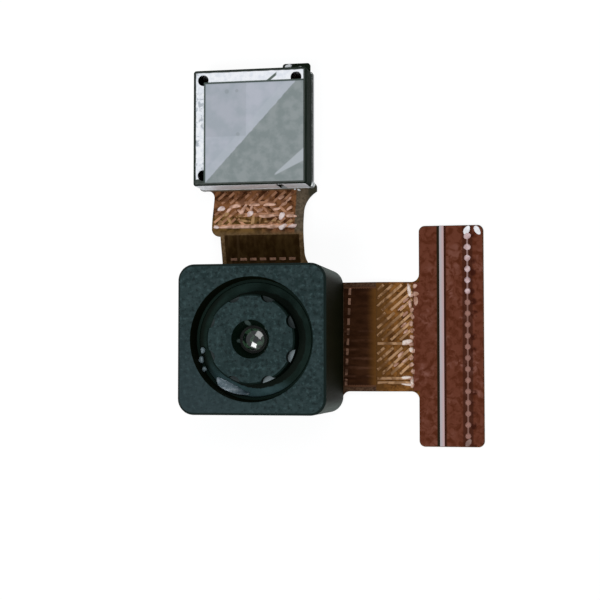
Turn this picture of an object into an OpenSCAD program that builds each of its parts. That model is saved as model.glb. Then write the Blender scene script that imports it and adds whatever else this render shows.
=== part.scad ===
// Fixed-focus camera module on a flex circuit.
// A square lens holder stands over the image sensor. A short tongue of the same flex carries a
// shielded processor head, and a wider tail ends in a cross bar that plugs into a connector.
// Origin: the lens axis at the underside of the base stiffener. +Z runs along the lens axis out
// of the lens, +X points to the plug-in end, +Y points to the shield can. Millimetres.

/* [Lens holder] */
// Side of the square lens holder
holder_w = 6.5; // [6.3:0.1:8.0]
// Radius of the holder's upright corners
holder_corner_r = 0.7; // [0.3:0.05:0.8]
// Bevel round the holder's front face
holder_bevel = 0.1; // [0.05:0.01:0.2]
// Wall round the sensor cavity
holder_wall = 0.5; // [0.4:0.02:0.54]
// Height of the sensor cavity from the holder's foot to the filter
cavity_h = 1.24; // [1.0:0.02:1.6]
// Thickness of the web that the filter hangs from
web_t = 0.25; // [0.15:0.01:0.5]
// Diameter of the well round the lens barrel, at the front face
well_d = 5.4; // [5.25:0.05:5.6]
// Depth of the well below the front face
well_depth = 0.85; // [0.5:0.05:1.2]
// How much smaller the well's radius is at its floor
well_draft = 0.08; // [0.02:0.01:0.1]
// Adhesive under the holder's foot
holder_glue_t = 0.04; // [0.02:0.01:0.1]

/* [Lens barrel] */
// Crest diameter of the lens thread
thread_d = 4.96; // [4.7:0.02:5.0]
// Radial clearance of the thread in the holder's bore
thread_gap = 0.02; // [0.01:0.005:0.04]
// Diameter of the barrel's nose
nose_d = 3.86; // [3.6:0.02:4.1]
// How far the nose stands in front of the holder's face
nose_proud = 0.15; // [0.0:0.05:0.4]
// Bevel round the nose
nose_bevel = 0.07; // [0.03:0.01:0.12]
// Number of wrench notches round the nose
notch_count = 8; // [4:1:12]
// Radius of each notch
notch_r = 0.32; // [0.2:0.02:0.4]
// Radial depth of each notch
notch_depth = 0.22; // [0.1:0.02:0.26]
// Height of each notch
notch_h = 0.45; // [0.2:0.05:0.6]
// Thickness of the nose's front wall
front_wall = 0.65; // [0.5:0.05:0.9]
// Diameter of the cone opening at the front
cone_d = 1.66; // [1.4:0.02:2.0]
// Diameter of the cone opening at the lens
cone_throat_d = 1.2; // [1.16:0.02:1.3]
// Clearance between the barrel's end and the filter web
barrel_gap = 0.05; // [0.03:0.01:0.3]
// Chamfer at the barrel's inner end
barrel_chamfer = 0.12; // [0.05:0.01:0.2]

/* [Lens stack] */
// Diameter of the front lens
front_lens_d = 2.5; // [2.2:0.02:2.7]
// Edge thickness of the front lens
front_lens_t = 0.5; // [0.4:0.02:0.7]
// Diameter of the front lens's dome
front_dome_d = 1.1; // [0.9:0.02:1.14]
// Height of the front lens's dome
front_dome_h = 0.13; // [0.06:0.01:0.2]
// Thickness of the aperture stop
stop_t = 0.05; // [0.03:0.01:0.1]
// Opening in the aperture stop
stop_open_d = 0.9; // [0.6:0.02:1.2]
// Diameter of the second lens
second_lens_d = 2.8; // [2.6:0.02:3.0]
// Edge thickness of the second lens
second_lens_t = 0.6; // [0.45:0.02:0.8]
// Thickness of the ring between the second and third lens
spacer_t = 0.25; // [0.22:0.01:0.4]
// Opening in the ring between the second and third lens
spacer_open_d = 1.9; // [1.7:0.02:2.2]
// Diameter of the third lens
third_lens_d = 3.2; // [3.0:0.02:3.5]
// Edge thickness of the third lens
third_lens_t = 0.6; // [0.45:0.02:0.8]
// Thickness of the retaining ring
retainer_t = 0.3; // [0.15:0.01:0.5]
// Opening in the retaining ring
retainer_open_d = 2.2; // [2.05:0.05:2.6]
// Radial clearance of each lens and ring in the barrel
lens_gap = 0.02; // [0.01:0.005:0.04]

/* [Sensor] */
// Length of the image sensor along X
sensor_w = 3.9; // [3.4:0.05:4.1]
// Width of the image sensor along Y
sensor_l = 3.4; // [2.8:0.05:3.5]
// Thickness of the image sensor
sensor_t = 0.4; // [0.2:0.02:0.5]
// Thickness of the adhesive under the sensor
die_attach_t = 0.025; // [0.01:0.005:0.05]
// Side of the square infrared filter
filter_w = 4.4; // [4.2:0.05:4.7]
// Thickness of the infrared filter
filter_t = 0.3; // [0.2:0.01:0.4]
// Width of the ledge that the filter is glued to
filter_ledge = 0.5; // [0.3:0.05:0.6]
// Clearance round the filter in its recess
filter_gap = 0.05; // [0.02:0.01:0.08]
// Number of bond wires on each of the two sides
wires_per_side = 12; // [6:1:14]
// Diameter of a bond wire
wire_d = 0.03; // [0.02:0.005:0.04]
// Distance that a bond wire spans
wire_span = 0.6; // [0.4:0.02:0.64]

/* [Flex circuit] */
// Thickness of the flex circuit
flex_t = 0.12; // [0.08:0.01:0.2]
// Thickness of the steel stiffeners under the holder and the head
stiffener_t = 0.2; // [0.1:0.01:0.3]
// How far the base stiffener and flex stay inside the holder's outline
base_inset = 0.05; // [0.02:0.01:0.15]
// Width of the tail
tail_w = 4.97; // [4.0:0.01:5.2]
// Free length of the tail between the holder and the cross bar
tail_l = 3.45; // [2.8:0.05:6.0]
// Offset of the tail from the lens axis, along Y
tail_y = 0.19; // [0.0:0.01:0.4]
// Rise of the tail's arch
tail_arch = 0.15; // [0.0:0.05:0.5]
// Width of the tongue at the holder
tongue_w = 3.9; // [3.2:0.05:4.2]
// Width of the tongue at the head
tongue_head_w = 4.3; // [4.25:0.05:4.6]
// Free length of the tongue between the holder and the head
tongue_l = 3.8; // [3.0:0.05:6.0]
// Offset of the tongue's straight edge from the lens axis, along X
tongue_edge_x = 1.47; // [1.3:0.01:1.55]
// Rise of the tongue's hump
tongue_hump = 0.5; // [0.1:0.05:1.2]
// Radius of the flex circuit's inner corners
flex_fillet_r = 0.35; // [0.15:0.01:0.36]
// Radius of the flare between the tongue's straight edge and the holder
root_flare_r = 0.9; // [0.4:0.05:0.95]
// Radius of the flare between the tongue's straight edge and the head
head_flare_r = 1.1; // [0.8:0.05:1.3]
// Radius of the ear at the head's corner
ear_r = 0.22; // [0.15:0.01:0.3]
// Length of the tab behind the head
head_tab_l = 0.42; // [0.3:0.02:0.6]
// Width of the tab behind the head
head_tab_w = 1.3; // [0.8:0.05:1.6]
// Thickness of the dark shield films
shield_film_t = 0.03; // [0.02:0.005:0.05]
// Length of the dark shield film on the tail
tail_film_l = 1.48; // [1.0:0.02:2.0]
// Length of the dark shield film on the tongue
tongue_film_l = 1.6; // [1.0:0.05:1.8]
// Bare margin beside the shield films
film_margin = 0.2; // [0.08:0.01:0.25]
// Gap between the holder and the shield films
film_gap = 0.04; // [0.02:0.01:0.1]
// Length of a stitch that ties a shield film to ground
stitch_l = 0.3; // [0.2:0.02:0.36]
// Width of a stitch
stitch_w = 0.12; // [0.08:0.01:0.16]
// Distance between stitches
stitch_pitch = 0.46; // [0.42:0.02:0.6]
// Distance of the stitches on the tail from the holder
tail_stitch_offset = 0.22; // [0.2:0.01:0.4]
// Slant of the row of stitches on the tail, in degrees
tail_stitch_slant = 2.5; // [0:0.5:3]
// Distance of the stitches on the tongue from the holder
tongue_stitch_offset = 0.55; // [0.3:0.01:0.8]
// Thickness of the raised copper traces
trace_t = 0.02; // [0.01:0.005:0.03]
// Width of a trace
trace_w = 0.12; // [0.06:0.01:0.14]
// Distance between slanted traces
trace_pitch = 0.27; // [0.24:0.01:0.4]
// Slant of the traces, in degrees
trace_slant = 42; // [30:1:60]
// Width of the wide lanes across the tongue
lane_w = 0.18; // [0.12:0.01:0.24]

/* [Plug-in end] */
// Width of the cross bar along X
end_w = 2.92; // [2.8:0.02:4.0]
// Number of contacts
contact_count = 19; // [9:1:23]
// Distance between contacts
contact_pitch = 0.5; // [0.4:0.1:0.6]
// Margin beyond the first and last contact
end_margin = 0.5; // [0.4:0.05:0.8]
// Offset of the cross bar from the lens axis, along Y
end_y = 0.22; // [0.0:0.02:0.5]
// Radius of the cross bar's corners
end_corner_r = 0.27; // [0.1:0.01:0.4]
// Width of a contact finger
contact_w = 0.32; // [0.2:0.01:0.36]
// Length of a contact finger
contact_l = 2.2; // [1.5:0.05:2.5]
// Thickness of a contact finger
contact_t = 0.03; // [0.02:0.005:0.05]
// Thickness of the film that stiffens the cross bar
end_stiffener_t = 0.15; // [0.1:0.01:0.3]
// How far the stiffening film stays inside the cross bar's outline
end_stiffener_inset = 0.03; // [0.01:0.01:0.08]
// How far the stiffening film laps onto the tail
end_lap = 0.25; // [0.1:0.01:0.4]
// Distance of the insertion mark from the tip
mark_offset = 1.88; // [1.6:0.02:2.2]
// Width of the insertion mark
mark_w = 0.2; // [0.1:0.02:0.3]
// Thickness of the insertion mark
mark_t = 0.015; // [0.01:0.005:0.03]
// Distance of the row of vias from the tip
via_offset = 0.72; // [0.5:0.02:1.0]
// Diameter of a via's dome
via_d = 0.28; // [0.16:0.02:0.3]
// Height of a via's dome
via_h = 0.04; // [0.02:0.005:0.06]
// Width of the line that links the vias
via_link_w = 0.08; // [0.06:0.01:0.12]

/* [Shield can] */
// Width of the shield can along X
can_w = 5.3; // [5.0:0.05:6.0]
// Length of the shield can along Y
can_l = 5.35; // [5.1:0.05:6.0]
// Height of the shield can
can_h = 1.4; // [1.35:0.05:2.0]
// Sheet thickness of the shield can
can_t = 0.1; // [0.06:0.01:0.11]
// Radius of the shield can's edges
can_r = 0.13; // [0.12:0.01:0.2]
// Offset of the shield can from the lens axis, along X
can_x = -0.85; // [-1.0:0.01:-0.6]
// Diameter of the holes in the can's corners
can_hole_d = 0.5; // [0.3:0.02:0.5]
// Distance of the corner holes from the can's sides
can_hole_inset = 0.48; // [0.46:0.01:0.5]
// Width of the slot in the can's front wall
can_slot_w = 0.3; // [0.2:0.02:0.5]
// Offset of the slot from the can's middle, along X
can_slot_x = 1.36; // [-1.5:0.02:1.5]
// How far the flex circuit reaches past the can
can_margin = 0.04; // [0.03:0.01:0.1]
// Solder under the can's rim
can_solder_t = 0.02; // [0.01:0.005:0.05]
// Bare margin of the can beside the film
film_side_gap = 0.52; // [0.3:0.02:0.7]
// Bare margin of the can behind the film
film_back_gap = 0.58; // [0.3:0.02:0.7]
// How far the film's adhesive shows beside and behind the film
film_lip = 0.08; // [0.04:0.01:0.12]
// Thickness of the film on the can, with its adhesive
can_film_t = 0.06; // [0.04:0.01:0.1]

/* [Signal processor] */
// Side of the square processor
chip_w = 3.9; // [3.4:0.05:4.0]
// Thickness of the processor
chip_t = 0.75; // [0.5:0.05:0.8]
// Height of a solder ball
ball_h = 0.2; // [0.12:0.01:0.25]
// Diameter of a solder ball
ball_d = 0.28; // [0.26:0.01:0.34]
// Number of solder balls along each side
balls_per_side = 6; // [4:1:7]
// Distance between solder balls
ball_pitch = 0.5; // [0.45:0.01:0.55]
// Length of a chip capacitor
capacitor_l = 0.6; // [0.5:0.02:0.7]
// Width and height of a chip capacitor
capacitor_w = 0.3; // [0.2:0.01:0.32]

/* [Hidden] */
$fn = 64;

// Overshoot of cutting shapes
cut = 0.5;
// Steps along each bend of the flex circuit
bend_steps = 24;

// Heights of the layers under the holder and the head
flex_z = stiffener_t;
flex_top = flex_z + flex_t;
holder_foot = flex_top + holder_glue_t;
filter_z = holder_foot + cavity_h;
web_top = filter_z + filter_t + web_t;

// Heights of the lens stack, from the retaining ring up to the nose
barrel_foot = web_top + barrel_gap;
third_lens_z = barrel_foot + retainer_t;
spacer_z = third_lens_z + third_lens_t;
second_lens_z = spacer_z + spacer_t;
stop_z = second_lens_z + second_lens_t;
front_lens_z = stop_z + stop_t;
lens_seat_z = front_lens_z + front_lens_t;
nose_top = lens_seat_z + front_wall;
holder_top = nose_top - nose_proud;
well_floor = holder_top - well_depth;
holder_h = holder_top - holder_foot;

// Optical surfaces behind the front lens: diameter and bulge, hollow if negative
front_rear = [1.2, -0.08];
second_front = [1.4, -0.12];
second_rear = [1.6, 0.12];
third_front = [1.8, 0.06];
third_rear = [2.0, -0.2];

// Plan of the flex circuit
tongue_step_share = 0.42;
half_w = holder_w / 2;
end_l = (contact_count - 1) * contact_pitch + 2 * end_margin;
end_x0 = half_w + tail_l;
end_tip = end_x0 + end_w;
head_y0 = half_w + tongue_l;
can_y = head_y0 + can_margin + can_l / 2;
tongue_step_y = half_w + tongue_l * tongue_step_share;
base_w = holder_w - 2 * base_inset;
base_corner_r = holder_corner_r - base_inset;

// Heights on the plug-in end
end_flex_z = contact_t;
end_stiffener_z = end_flex_z + flex_t;
end_top = end_stiffener_z + end_stiffener_t;

// Heights in the shielded head
can_z = flex_top + can_solder_t;
can_top = can_z + can_h;
chip_z = flex_top + ball_h;

// Places of the small parts
wire_inset = 0.12;
board_capacitor_count = 4;
board_capacitor_y = (sensor_l / 2 + holder_w / 2 - holder_wall) / 2;
head_capacitor_count = 5;
head_capacitor_y = (chip_w / 2 + can_l / 2 - can_t) / 2;
terminal_share = 0.25;
terminal_step = 0.01;

// Stretches of the tail's width that slanted and straight traces take
tail_slanted = [[0.16, 0.4], [0.47, 0.72], [0.74, 0.975]];
tail_straight = [0.08, 0.12, 0.437];
// Shortest slanted trace
trace_min_l = 0.3;
// Lanes across the tongue's wide part: place along it, from and to across it, all as shares
tongue_lanes = [[0.1, 0, 1], [0.38, 0.5, 1], [0.38, 0.3, 0.42], [0.68, 0.25, 0.75]];
// Fields of slanted traces there, in the same shares, and the way they slant
tongue_fields = [
    [0.15, 0.63, 0, 0.27, 1], [0.14, 0.34, 0.3, 0.46, -1], [0.14, 0.34, 0.62, 0.98, 1],
    [0.43, 0.63, 0.35, 0.98, -1], [0.73, 1, 0.02, 0.98, 1]
];

// Solder lumps beside the can, one on the ear and two on the tab: place and radius
lump_r = 0.16;
lump_y = can_l / 2 + can_margin - lump_r;
tab_edge_x = can_w / 2 + can_margin - can_r;
solder_lumps = [
    [can_w / 2, -lump_y, lump_r],
    [tab_edge_x - head_tab_w * 0.8, can_l / 2 + lump_r, lump_r],
    [tab_edge_x - head_tab_w * 0.35, can_l / 2 + lump_r, lump_r]
];

// Adhesive spots that lock the barrel in the well
lock_w = 0.5;
lock_h = 0.26;
lock_angles = [-132, -94];
lock_drop_angles = [-168, -157, -147];
lock_drop_r = 0.11;
lock_gap = 0.01;

// Share of a step at position t of 1, and the height of a hump there
function ease(t) = (1 - cos(180 * t)) / 2;
function hump(t) = (1 - cos(360 * t)) / 2;

// Height of the flex circuit's underside along the tail and along the tongue
function tail_height(t) = flex_z + (end_flex_z - flex_z) * ease(t) + tail_arch * hump(t);
function tongue_height(t) = flex_z + tongue_hump * hump(t);

// Sphere radius of a surface of diameter d that bulges by s
function bulge_r(d, s) = (d * d / 4 + s * s) / (2 * abs(s));

// Square with round corners, in the middle of the origin
module rounded_square(w, l, r) {
    square([w - 2 * r, l], center = true);
    square([w, l - 2 * r], center = true);
    for (x = [-1, 1], y = [-1, 1])
        translate([x * (w / 2 - r), y * (l / 2 - r)]) circle(r);
}

// Inner corner of radius r that fills the first quadrant's corner
module inner_corner(r) {
    difference() {
        square(r);
        translate([r, r]) circle(r);
    }
}

// Plate with round corners
module rounded_plate(w, l, r, t) {
    linear_extrude(t) rounded_square(w, l, r);
}

// Bevelled top of a rounded block: the outline draws in by b over the height b
module bevelled_top(w, l, r, b) {
    for (x = [-1, 1], y = [-1, 1])
        translate([x * (w / 2 - r), y * (l / 2 - r), 0]) cylinder(h = b, r1 = r, r2 = r - b);
    translate([0, l / 2 - r, 0]) rotate([90, 0, 0]) linear_extrude(l - 2 * r)
        polygon([[-w / 2, 0], [w / 2, 0], [w / 2 - b, b], [b - w / 2, b]]);
    translate([r - w / 2, 0, 0]) rotate([90, 0, 90]) linear_extrude(w - 2 * r)
        polygon([[-l / 2, 0], [l / 2, 0], [l / 2 - b, b], [b - l / 2, b]]);
}

// Box with the same radius on its upright and its top edges
module soft_box(w, l, h, r) {
    rounded_plate(w, l, r, h - r);
    translate([0, 0, h / 2]) cube([w - 2 * r, l - 2 * r, h], center = true);
    for (y = [-1, 1])
        translate([r - w / 2, y * (l / 2 - r), h - r]) rotate([0, 90, 0])
            cylinder(h = w - 2 * r, r = r);
    for (x = [-1, 1])
        translate([x * (w / 2 - r), l / 2 - r, h - r]) rotate([90, 0, 0])
            cylinder(h = l - 2 * r, r = r);
    for (x = [-1, 1], y = [-1, 1])
        translate([x * (w / 2 - r), y * (l / 2 - r), h - r]) sphere(r);
}

// Lens of edge thickness t with a front and a rear surface, each [diameter, bulge]
module lens(d, t, front, rear) {
    difference() {
        union() {
            cylinder(h = t, d = d);
            if (front[1] > 0) bulge(t, front);
            if (rear[1] > 0) translate([0, 0, t]) mirror([0, 0, 1]) bulge(t, rear);
        }
        if (front[1] < 0) hollow(t, front);
        if (rear[1] < 0) translate([0, 0, t]) mirror([0, 0, 1]) hollow(t, rear);
    }
}

// Bulging surface over the height t
module bulge(t, surface) {
    r = bulge_r(surface[0], surface[1]);
    intersection() {
        translate([0, 0, t / 2]) cylinder(h = t, d = surface[0]);
        translate([0, 0, t + surface[1] - r]) sphere(r);
    }
}

// Hollow surface in the height t
module hollow(t, surface) {
    r = bulge_r(surface[0], surface[1]);
    translate([0, 0, t + surface[1] + r]) sphere(r);
}

// Chip capacitor that lies along X, with its foot at the origin
module capacitor() {
    end_l = capacitor_l * terminal_share;
    body_w = capacitor_w - 2 * terminal_step;
    translate([-capacitor_l / 2, -body_w / 2, 0]) cube([capacitor_l, body_w, body_w]);
    for (x = [-capacitor_l / 2, capacitor_l / 2 - end_l])
        translate([x, -capacitor_w / 2, 0]) cube([end_l, capacitor_w, capacitor_w]);
}

// Band of thickness t that follows the tail at the height dz over its underside
module tail_band(dz, t) {
    steps = [for (i = [0:bend_steps]) i / bend_steps];
    low = concat(
        [[half_w - flex_fillet_r, flex_z + dz]],
        [for (s = steps) [half_w + s * tail_l, tail_height(s) + dz]],
        [[end_x0 + flex_fillet_r, end_flex_z + dz]]
    );
    bent_band(low, t, end_l);
}

// Band of thickness t that follows the tongue at the height dz over its underside
module tongue_band(dz, t) {
    steps = [for (i = [0:bend_steps]) i / bend_steps];
    low = concat(
        [[half_w - flex_fillet_r, flex_z + dz]],
        [for (s = steps) [half_w + s * tongue_l, tongue_height(s) + dz]],
        [[head_y0 + flex_fillet_r, flex_z + dz]]
    );
    rotate([0, 0, 90]) bent_band(low, t, can_w * 2);
}

// Side profile over the line low, drawn across the width w
module bent_band(low, t, w) {
    high = [for (i = [len(low) - 1:-1:0]) [low[i][0], low[i][1] + t]];
    translate([0, w / 2, 0]) rotate([90, 0, 0]) linear_extrude(w) polygon(concat(low, high));
}

// Plan drawn upwards, to be cut to a band
module tall(h = 4) {
    linear_extrude(h) children();
}

// Outline of the tail, from the holder to the cross bar
module tail_outline() {
    r = flex_fillet_r;
    side = tail_y - tail_w / 2;
    translate([half_w - r, side]) square([tail_l + 2 * r, tail_w]);
    translate([half_w - base_inset, side]) mirror([0, 1]) inner_corner(r);
    translate([end_x0, side]) rotate(180) inner_corner(r);
    translate([end_x0, side + tail_w]) mirror([1, 0]) inner_corner(r);
}

// Outline of the tongue, wider from its step on
module tongue_outline() {
    r = flex_fillet_r;
    step = tongue_head_w - tongue_w;
    left = tongue_edge_x - tongue_w;
    translate([left, half_w - r]) square([tongue_w, tongue_l + 2 * r]);
    translate([left - step, tongue_step_y + r])
        square([tongue_head_w, head_y0 - tongue_step_y]);
    translate([left - step + r, tongue_step_y]) square([tongue_head_w - r, r]);
    translate([left - step + r, tongue_step_y + r]) circle(r);
    translate([left - step, head_y0]) rotate(180) inner_corner(r);
    translate([left, half_w - base_inset]) mirror([1, 0]) inner_corner(r);
    translate([tongue_edge_x, half_w - base_inset]) inner_corner(root_flare_r);
    intersection() {
        translate([tongue_edge_x, head_y0]) mirror([0, 1]) inner_corner(head_flare_r);
        translate([can_x, half_w]) square([can_w / 2 + ear_r, tongue_l]);
    }
}

// Outline of the head, with the ear at its corner and the tab behind it
module head_outline() {
    w = can_w + 2 * can_margin;
    l = can_l + 2 * can_margin;
    rounded_square(w, l, can_r);
    translate([can_w / 2, -can_l / 2]) circle(ear_r);
    translate([w / 2 - head_tab_w / 2 - can_r, l / 2])
        rounded_square(head_tab_w, 2 * head_tab_l, can_r);
}

// Place of the cross bar's middle, and of the head's middle
module at_end() {
    translate([end_x0 + end_w / 2, end_y, 0]) children();
}
module at_head() {
    translate([can_x, can_y, 0]) children();
}

// Steel plate under the sensor
module base_stiffener() {
    color([0.62, 0.63, 0.65]) rounded_plate(base_w, base_w, base_corner_r, stiffener_t);
}

// One flex circuit: base, tail, cross bar, tongue and head
module flex_circuit() {
    color([0.55, 0.30, 0.12]) {
        translate([0, 0, flex_z]) rounded_plate(base_w, base_w, base_corner_r, flex_t);
        at_head() translate([0, 0, flex_z]) linear_extrude(flex_t) head_outline();
        at_end() translate([0, 0, end_flex_z]) rounded_plate(end_w, end_l, end_corner_r, flex_t);
        intersection() {
            tail_band(0, flex_t);
            tall() tail_outline();
        }
        intersection() {
            tongue_band(0, flex_t);
            tall() tongue_outline();
        }
    }
}

// Adhesive frame under the holder's foot
module holder_glue() {
    color([0.15, 0.15, 0.16]) translate([0, 0, flex_top]) linear_extrude(holder_glue_t)
        difference() {
            rounded_square(base_w, base_w, base_corner_r);
            square(holder_w - 2 * holder_wall, center = true);
        }
}

// Square housing with the lens bore, the well and the sensor cavity
module lens_holder() {
    bore_r = thread_d / 2 + thread_gap;
    cavity_w = holder_w - 2 * holder_wall;
    recess_w = filter_w + 2 * filter_gap;
    window_w = filter_w - 2 * filter_ledge;
    color([0.13, 0.16, 0.17]) difference() {
        translate([0, 0, holder_foot]) {
            rounded_plate(holder_w, holder_w, holder_corner_r, holder_h - holder_bevel);
            translate([0, 0, holder_h - holder_bevel])
                bevelled_top(holder_w, holder_w, holder_corner_r, holder_bevel);
        }
        translate([0, 0, well_floor])
            cylinder(h = well_depth, r1 = well_d / 2 - well_draft, r2 = well_d / 2);
        translate([0, 0, holder_top]) cylinder(h = cut, d = well_d);
        translate([0, 0, web_top]) cylinder(h = holder_top - web_top, r = bore_r);
        translate([0, 0, holder_foot - cut]) linear_extrude(cut + cavity_h)
            square(cavity_w, center = true);
        translate([0, 0, filter_z - cut]) linear_extrude(cut + filter_t)
            square(recess_w, center = true);
        translate([0, 0, filter_z]) linear_extrude(filter_t + web_t + cut)
            rounded_square(window_w, window_w, holder_bevel);
    }
}

// Screw-in barrel with a notched nose and stepped seats for the lenses
module lens_barrel() {
    thread_r = thread_d / 2;
    pocket_gap = 2 * lens_gap;
    color([0.14, 0.16, 0.17]) difference() {
        union() {
            translate([0, 0, barrel_foot])
                cylinder(h = barrel_chamfer, r1 = thread_r - barrel_chamfer, r2 = thread_r);
            translate([0, 0, barrel_foot + barrel_chamfer])
                cylinder(h = well_floor - barrel_foot - barrel_chamfer, r = thread_r);
            translate([0, 0, well_floor - cut])
                cylinder(h = cut + nose_top - nose_bevel - well_floor, d = nose_d);
            translate([0, 0, nose_top - nose_bevel])
                cylinder(h = nose_bevel, r1 = nose_d / 2, r2 = nose_d / 2 - nose_bevel);
        }
        for (i = [0:notch_count - 1])
            rotate([0, 0, (i + 0.5) * 360 / notch_count])
                translate([nose_d / 2 + notch_r - notch_depth, 0, nose_top - notch_h])
                    cylinder(h = notch_h + cut, r = notch_r);
        translate([0, 0, lens_seat_z])
            cylinder(h = front_wall, d1 = cone_throat_d, d2 = cone_d);
        translate([0, 0, nose_top]) cylinder(h = cut, d = cone_d);
        translate([0, 0, stop_z]) cylinder(h = lens_seat_z - stop_z, d = front_lens_d + pocket_gap);
        translate([0, 0, second_lens_z])
            cylinder(h = second_lens_t, d = second_lens_d + pocket_gap);
        translate([0, 0, barrel_foot - cut])
            cylinder(h = cut + second_lens_z - barrel_foot, d = third_lens_d + pocket_gap);
    }
}

// Front lens, whose dome shows in the cone
module front_lens() {
    color([0.35, 0.45, 0.45, 0.6]) translate([0, 0, front_lens_z])
        lens(front_lens_d, front_lens_t, [front_dome_d, front_dome_h], front_rear);
}

// Black ring behind the front lens
module aperture_stop() {
    ring(front_lens_d, stop_open_d, stop_z, stop_t);
}

// Second lens
module second_lens() {
    color([0.45, 0.55, 0.55, 0.6]) translate([0, 0, second_lens_z])
        lens(second_lens_d, second_lens_t, second_front, second_rear);
}

// Ring between the second and the third lens
module lens_spacer() {
    ring(third_lens_d, spacer_open_d, spacer_z, spacer_t);
}

// Third lens
module third_lens() {
    color([0.5, 0.6, 0.6, 0.6]) translate([0, 0, third_lens_z])
        lens(third_lens_d, third_lens_t, third_front, third_rear);
}

// Ring that closes the barrel
module lens_retainer() {
    ring(third_lens_d, retainer_open_d, barrel_foot, retainer_t);
}

// Flat black ring
module ring(d, open_d, z, t) {
    color([0.08, 0.08, 0.09]) translate([0, 0, z]) difference() {
        cylinder(h = t, d = d);
        translate([0, 0, -cut]) cylinder(h = t + 2 * cut, d = open_d);
    }
}

// Adhesive that keeps the barrel from turning: a bead and three drops in the well
module thread_lock() {
    outer_r = well_d / 2 - well_draft - lock_gap;
    inner_r = outer_r - lock_w;
    color([0.42, 0.50, 0.55]) translate([0, 0, well_floor]) {
        rotate([0, 0, lock_angles[0]]) rotate_extrude(angle = lock_angles[1] - lock_angles[0])
            polygon([
                [inner_r, 0], [outer_r, 0], [outer_r, lock_h],
                [outer_r - lock_w * 0.4, lock_h * 0.85], [inner_r + lock_w * 0.2, lock_h * 0.4]
            ]);
        for (a = lock_drop_angles)
            rotate([0, 0, a]) translate([outer_r - lock_w / 2, 0, 0]) intersection() {
                sphere(lock_drop_r);
                cylinder(h = lock_drop_r, r = lock_drop_r);
            }
    }
}

// Blue glass plate over the sensor
module ir_filter() {
    color([0.35, 0.55, 0.75, 0.6]) translate([0, 0, filter_z])
        linear_extrude(filter_t) square(filter_w, center = true);
}

// Silicon die with its raised pixel field
module image_sensor() {
    field_t = 0.01;
    field_share = 0.7;
    color([0.25, 0.22, 0.35]) translate([0, 0, flex_top + die_attach_t]) {
        linear_extrude(sensor_t) square([sensor_w, sensor_l], center = true);
        linear_extrude(sensor_t + field_t)
            square([sensor_w * field_share, sensor_l * field_share], center = true);
    }
}

// Adhesive under the die
module die_attach() {
    color([0.55, 0.55, 0.50]) translate([0, 0, flex_top])
        linear_extrude(die_attach_t) square([sensor_w, sensor_l], center = true);
}

// Gold loops from the die's edges down to the flex circuit
module bond_wires() {
    pitch = (sensor_l - 2 * wire_inset) / wires_per_side;
    die_top = flex_top + die_attach_t + sensor_t;
    color([0.85, 0.68, 0.25])
        for (side = [0, 180], i = [0:wires_per_side - 1])
            rotate([0, 0, side])
                translate([sensor_w / 2 - wire_inset, (i + 0.5) * pitch - sensor_l / 2 + wire_inset, 0])
                    bond_wire(die_top);
}

// One loop that starts at the origin on the die and ends wire_span further on
module bond_wire(die_top) {
    translate([wire_span / 2, 0, die_top]) rotate([90, 0, 0])
        rotate_extrude(angle = 180) translate([wire_span / 2, 0]) circle(d = wire_d);
    translate([wire_span, 0, flex_top]) cylinder(h = die_top - flex_top, d = wire_d);
}

// Capacitors beside the sensor
module board_capacitors() {
    pitch = sensor_w / board_capacitor_count;
    color([0.62, 0.50, 0.38])
        for (i = [0:board_capacitor_count - 1])
            translate([(i + 0.5) * pitch - sensor_w / 2, board_capacitor_y, flex_top]) capacitor();
}

// Steel plate under the head
module head_stiffener() {
    color([0.62, 0.63, 0.65]) at_head()
        rounded_plate(can_w + 2 * can_margin, can_l + 2 * can_margin, can_r, stiffener_t);
}

// Drawn sheet-metal lid with a hole in each corner
module shield_can() {
    color([0.86, 0.87, 0.89]) at_head() translate([0, 0, can_z]) difference() {
        soft_box(can_w, can_l, can_h, can_r);
        translate([0, 0, -cut])
            soft_box(can_w - 2 * can_t, can_l - 2 * can_t, cut + can_h - can_t, can_r - can_t);
        for (x = [-1, 1], y = [-1, 1])
            translate([x * (can_w / 2 - can_hole_inset), y * (can_l / 2 - can_hole_inset), 0])
                cylinder(h = can_h + cut, d = can_hole_d);
        translate([can_slot_x - can_slot_w / 2, -can_l / 2 - cut, -cut])
            cube([can_slot_w, cut + can_t + can_r, cut + can_h - can_r]);
    }
}

// Solder frame under the can's rim, with a lump on the ear and two on the tab
module can_solder() {
    color([0.70, 0.71, 0.73]) at_head() translate([0, 0, flex_top]) {
        linear_extrude(can_solder_t) difference() {
            rounded_square(can_w + can_margin, can_l + can_margin, can_r);
            square([can_w - 2 * can_t - can_margin, can_l - 2 * can_t - can_margin], center = true);
        }
        difference() {
            for (p = solder_lumps)
                translate([p[0], p[1], 0]) intersection() {
                    sphere(p[2]);
                    cylinder(h = p[2], r = p[2]);
                }
            rounded_plate(can_w, can_l, can_r, can_h);
        }
    }
}

// Grey film on the can: adhesive below, film above, both cut at the can's rounded edges
module can_film() {
    x0 = -can_w / 2 + film_side_gap;
    x1 = can_w / 2 - can_r;
    y0 = -can_l / 2 + can_r;
    y1 = can_l / 2 - film_back_gap;
    color([0.60, 0.62, 0.64]) at_head() translate([0, 0, can_top]) {
        translate([x0, y0, 0]) cube([x1 - x0, y1 - y0, can_film_t / 2]);
        translate([x0 + film_lip, y0, 0]) cube([x1 - x0 - film_lip, y1 - y0 - film_lip, can_film_t]);
    }
}

// Ball-grid chip under the can
module signal_processor() {
    color([0.12, 0.12, 0.13]) at_head() translate([0, 0, chip_z])
        linear_extrude(chip_t) square(chip_w, center = true);
}

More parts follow.
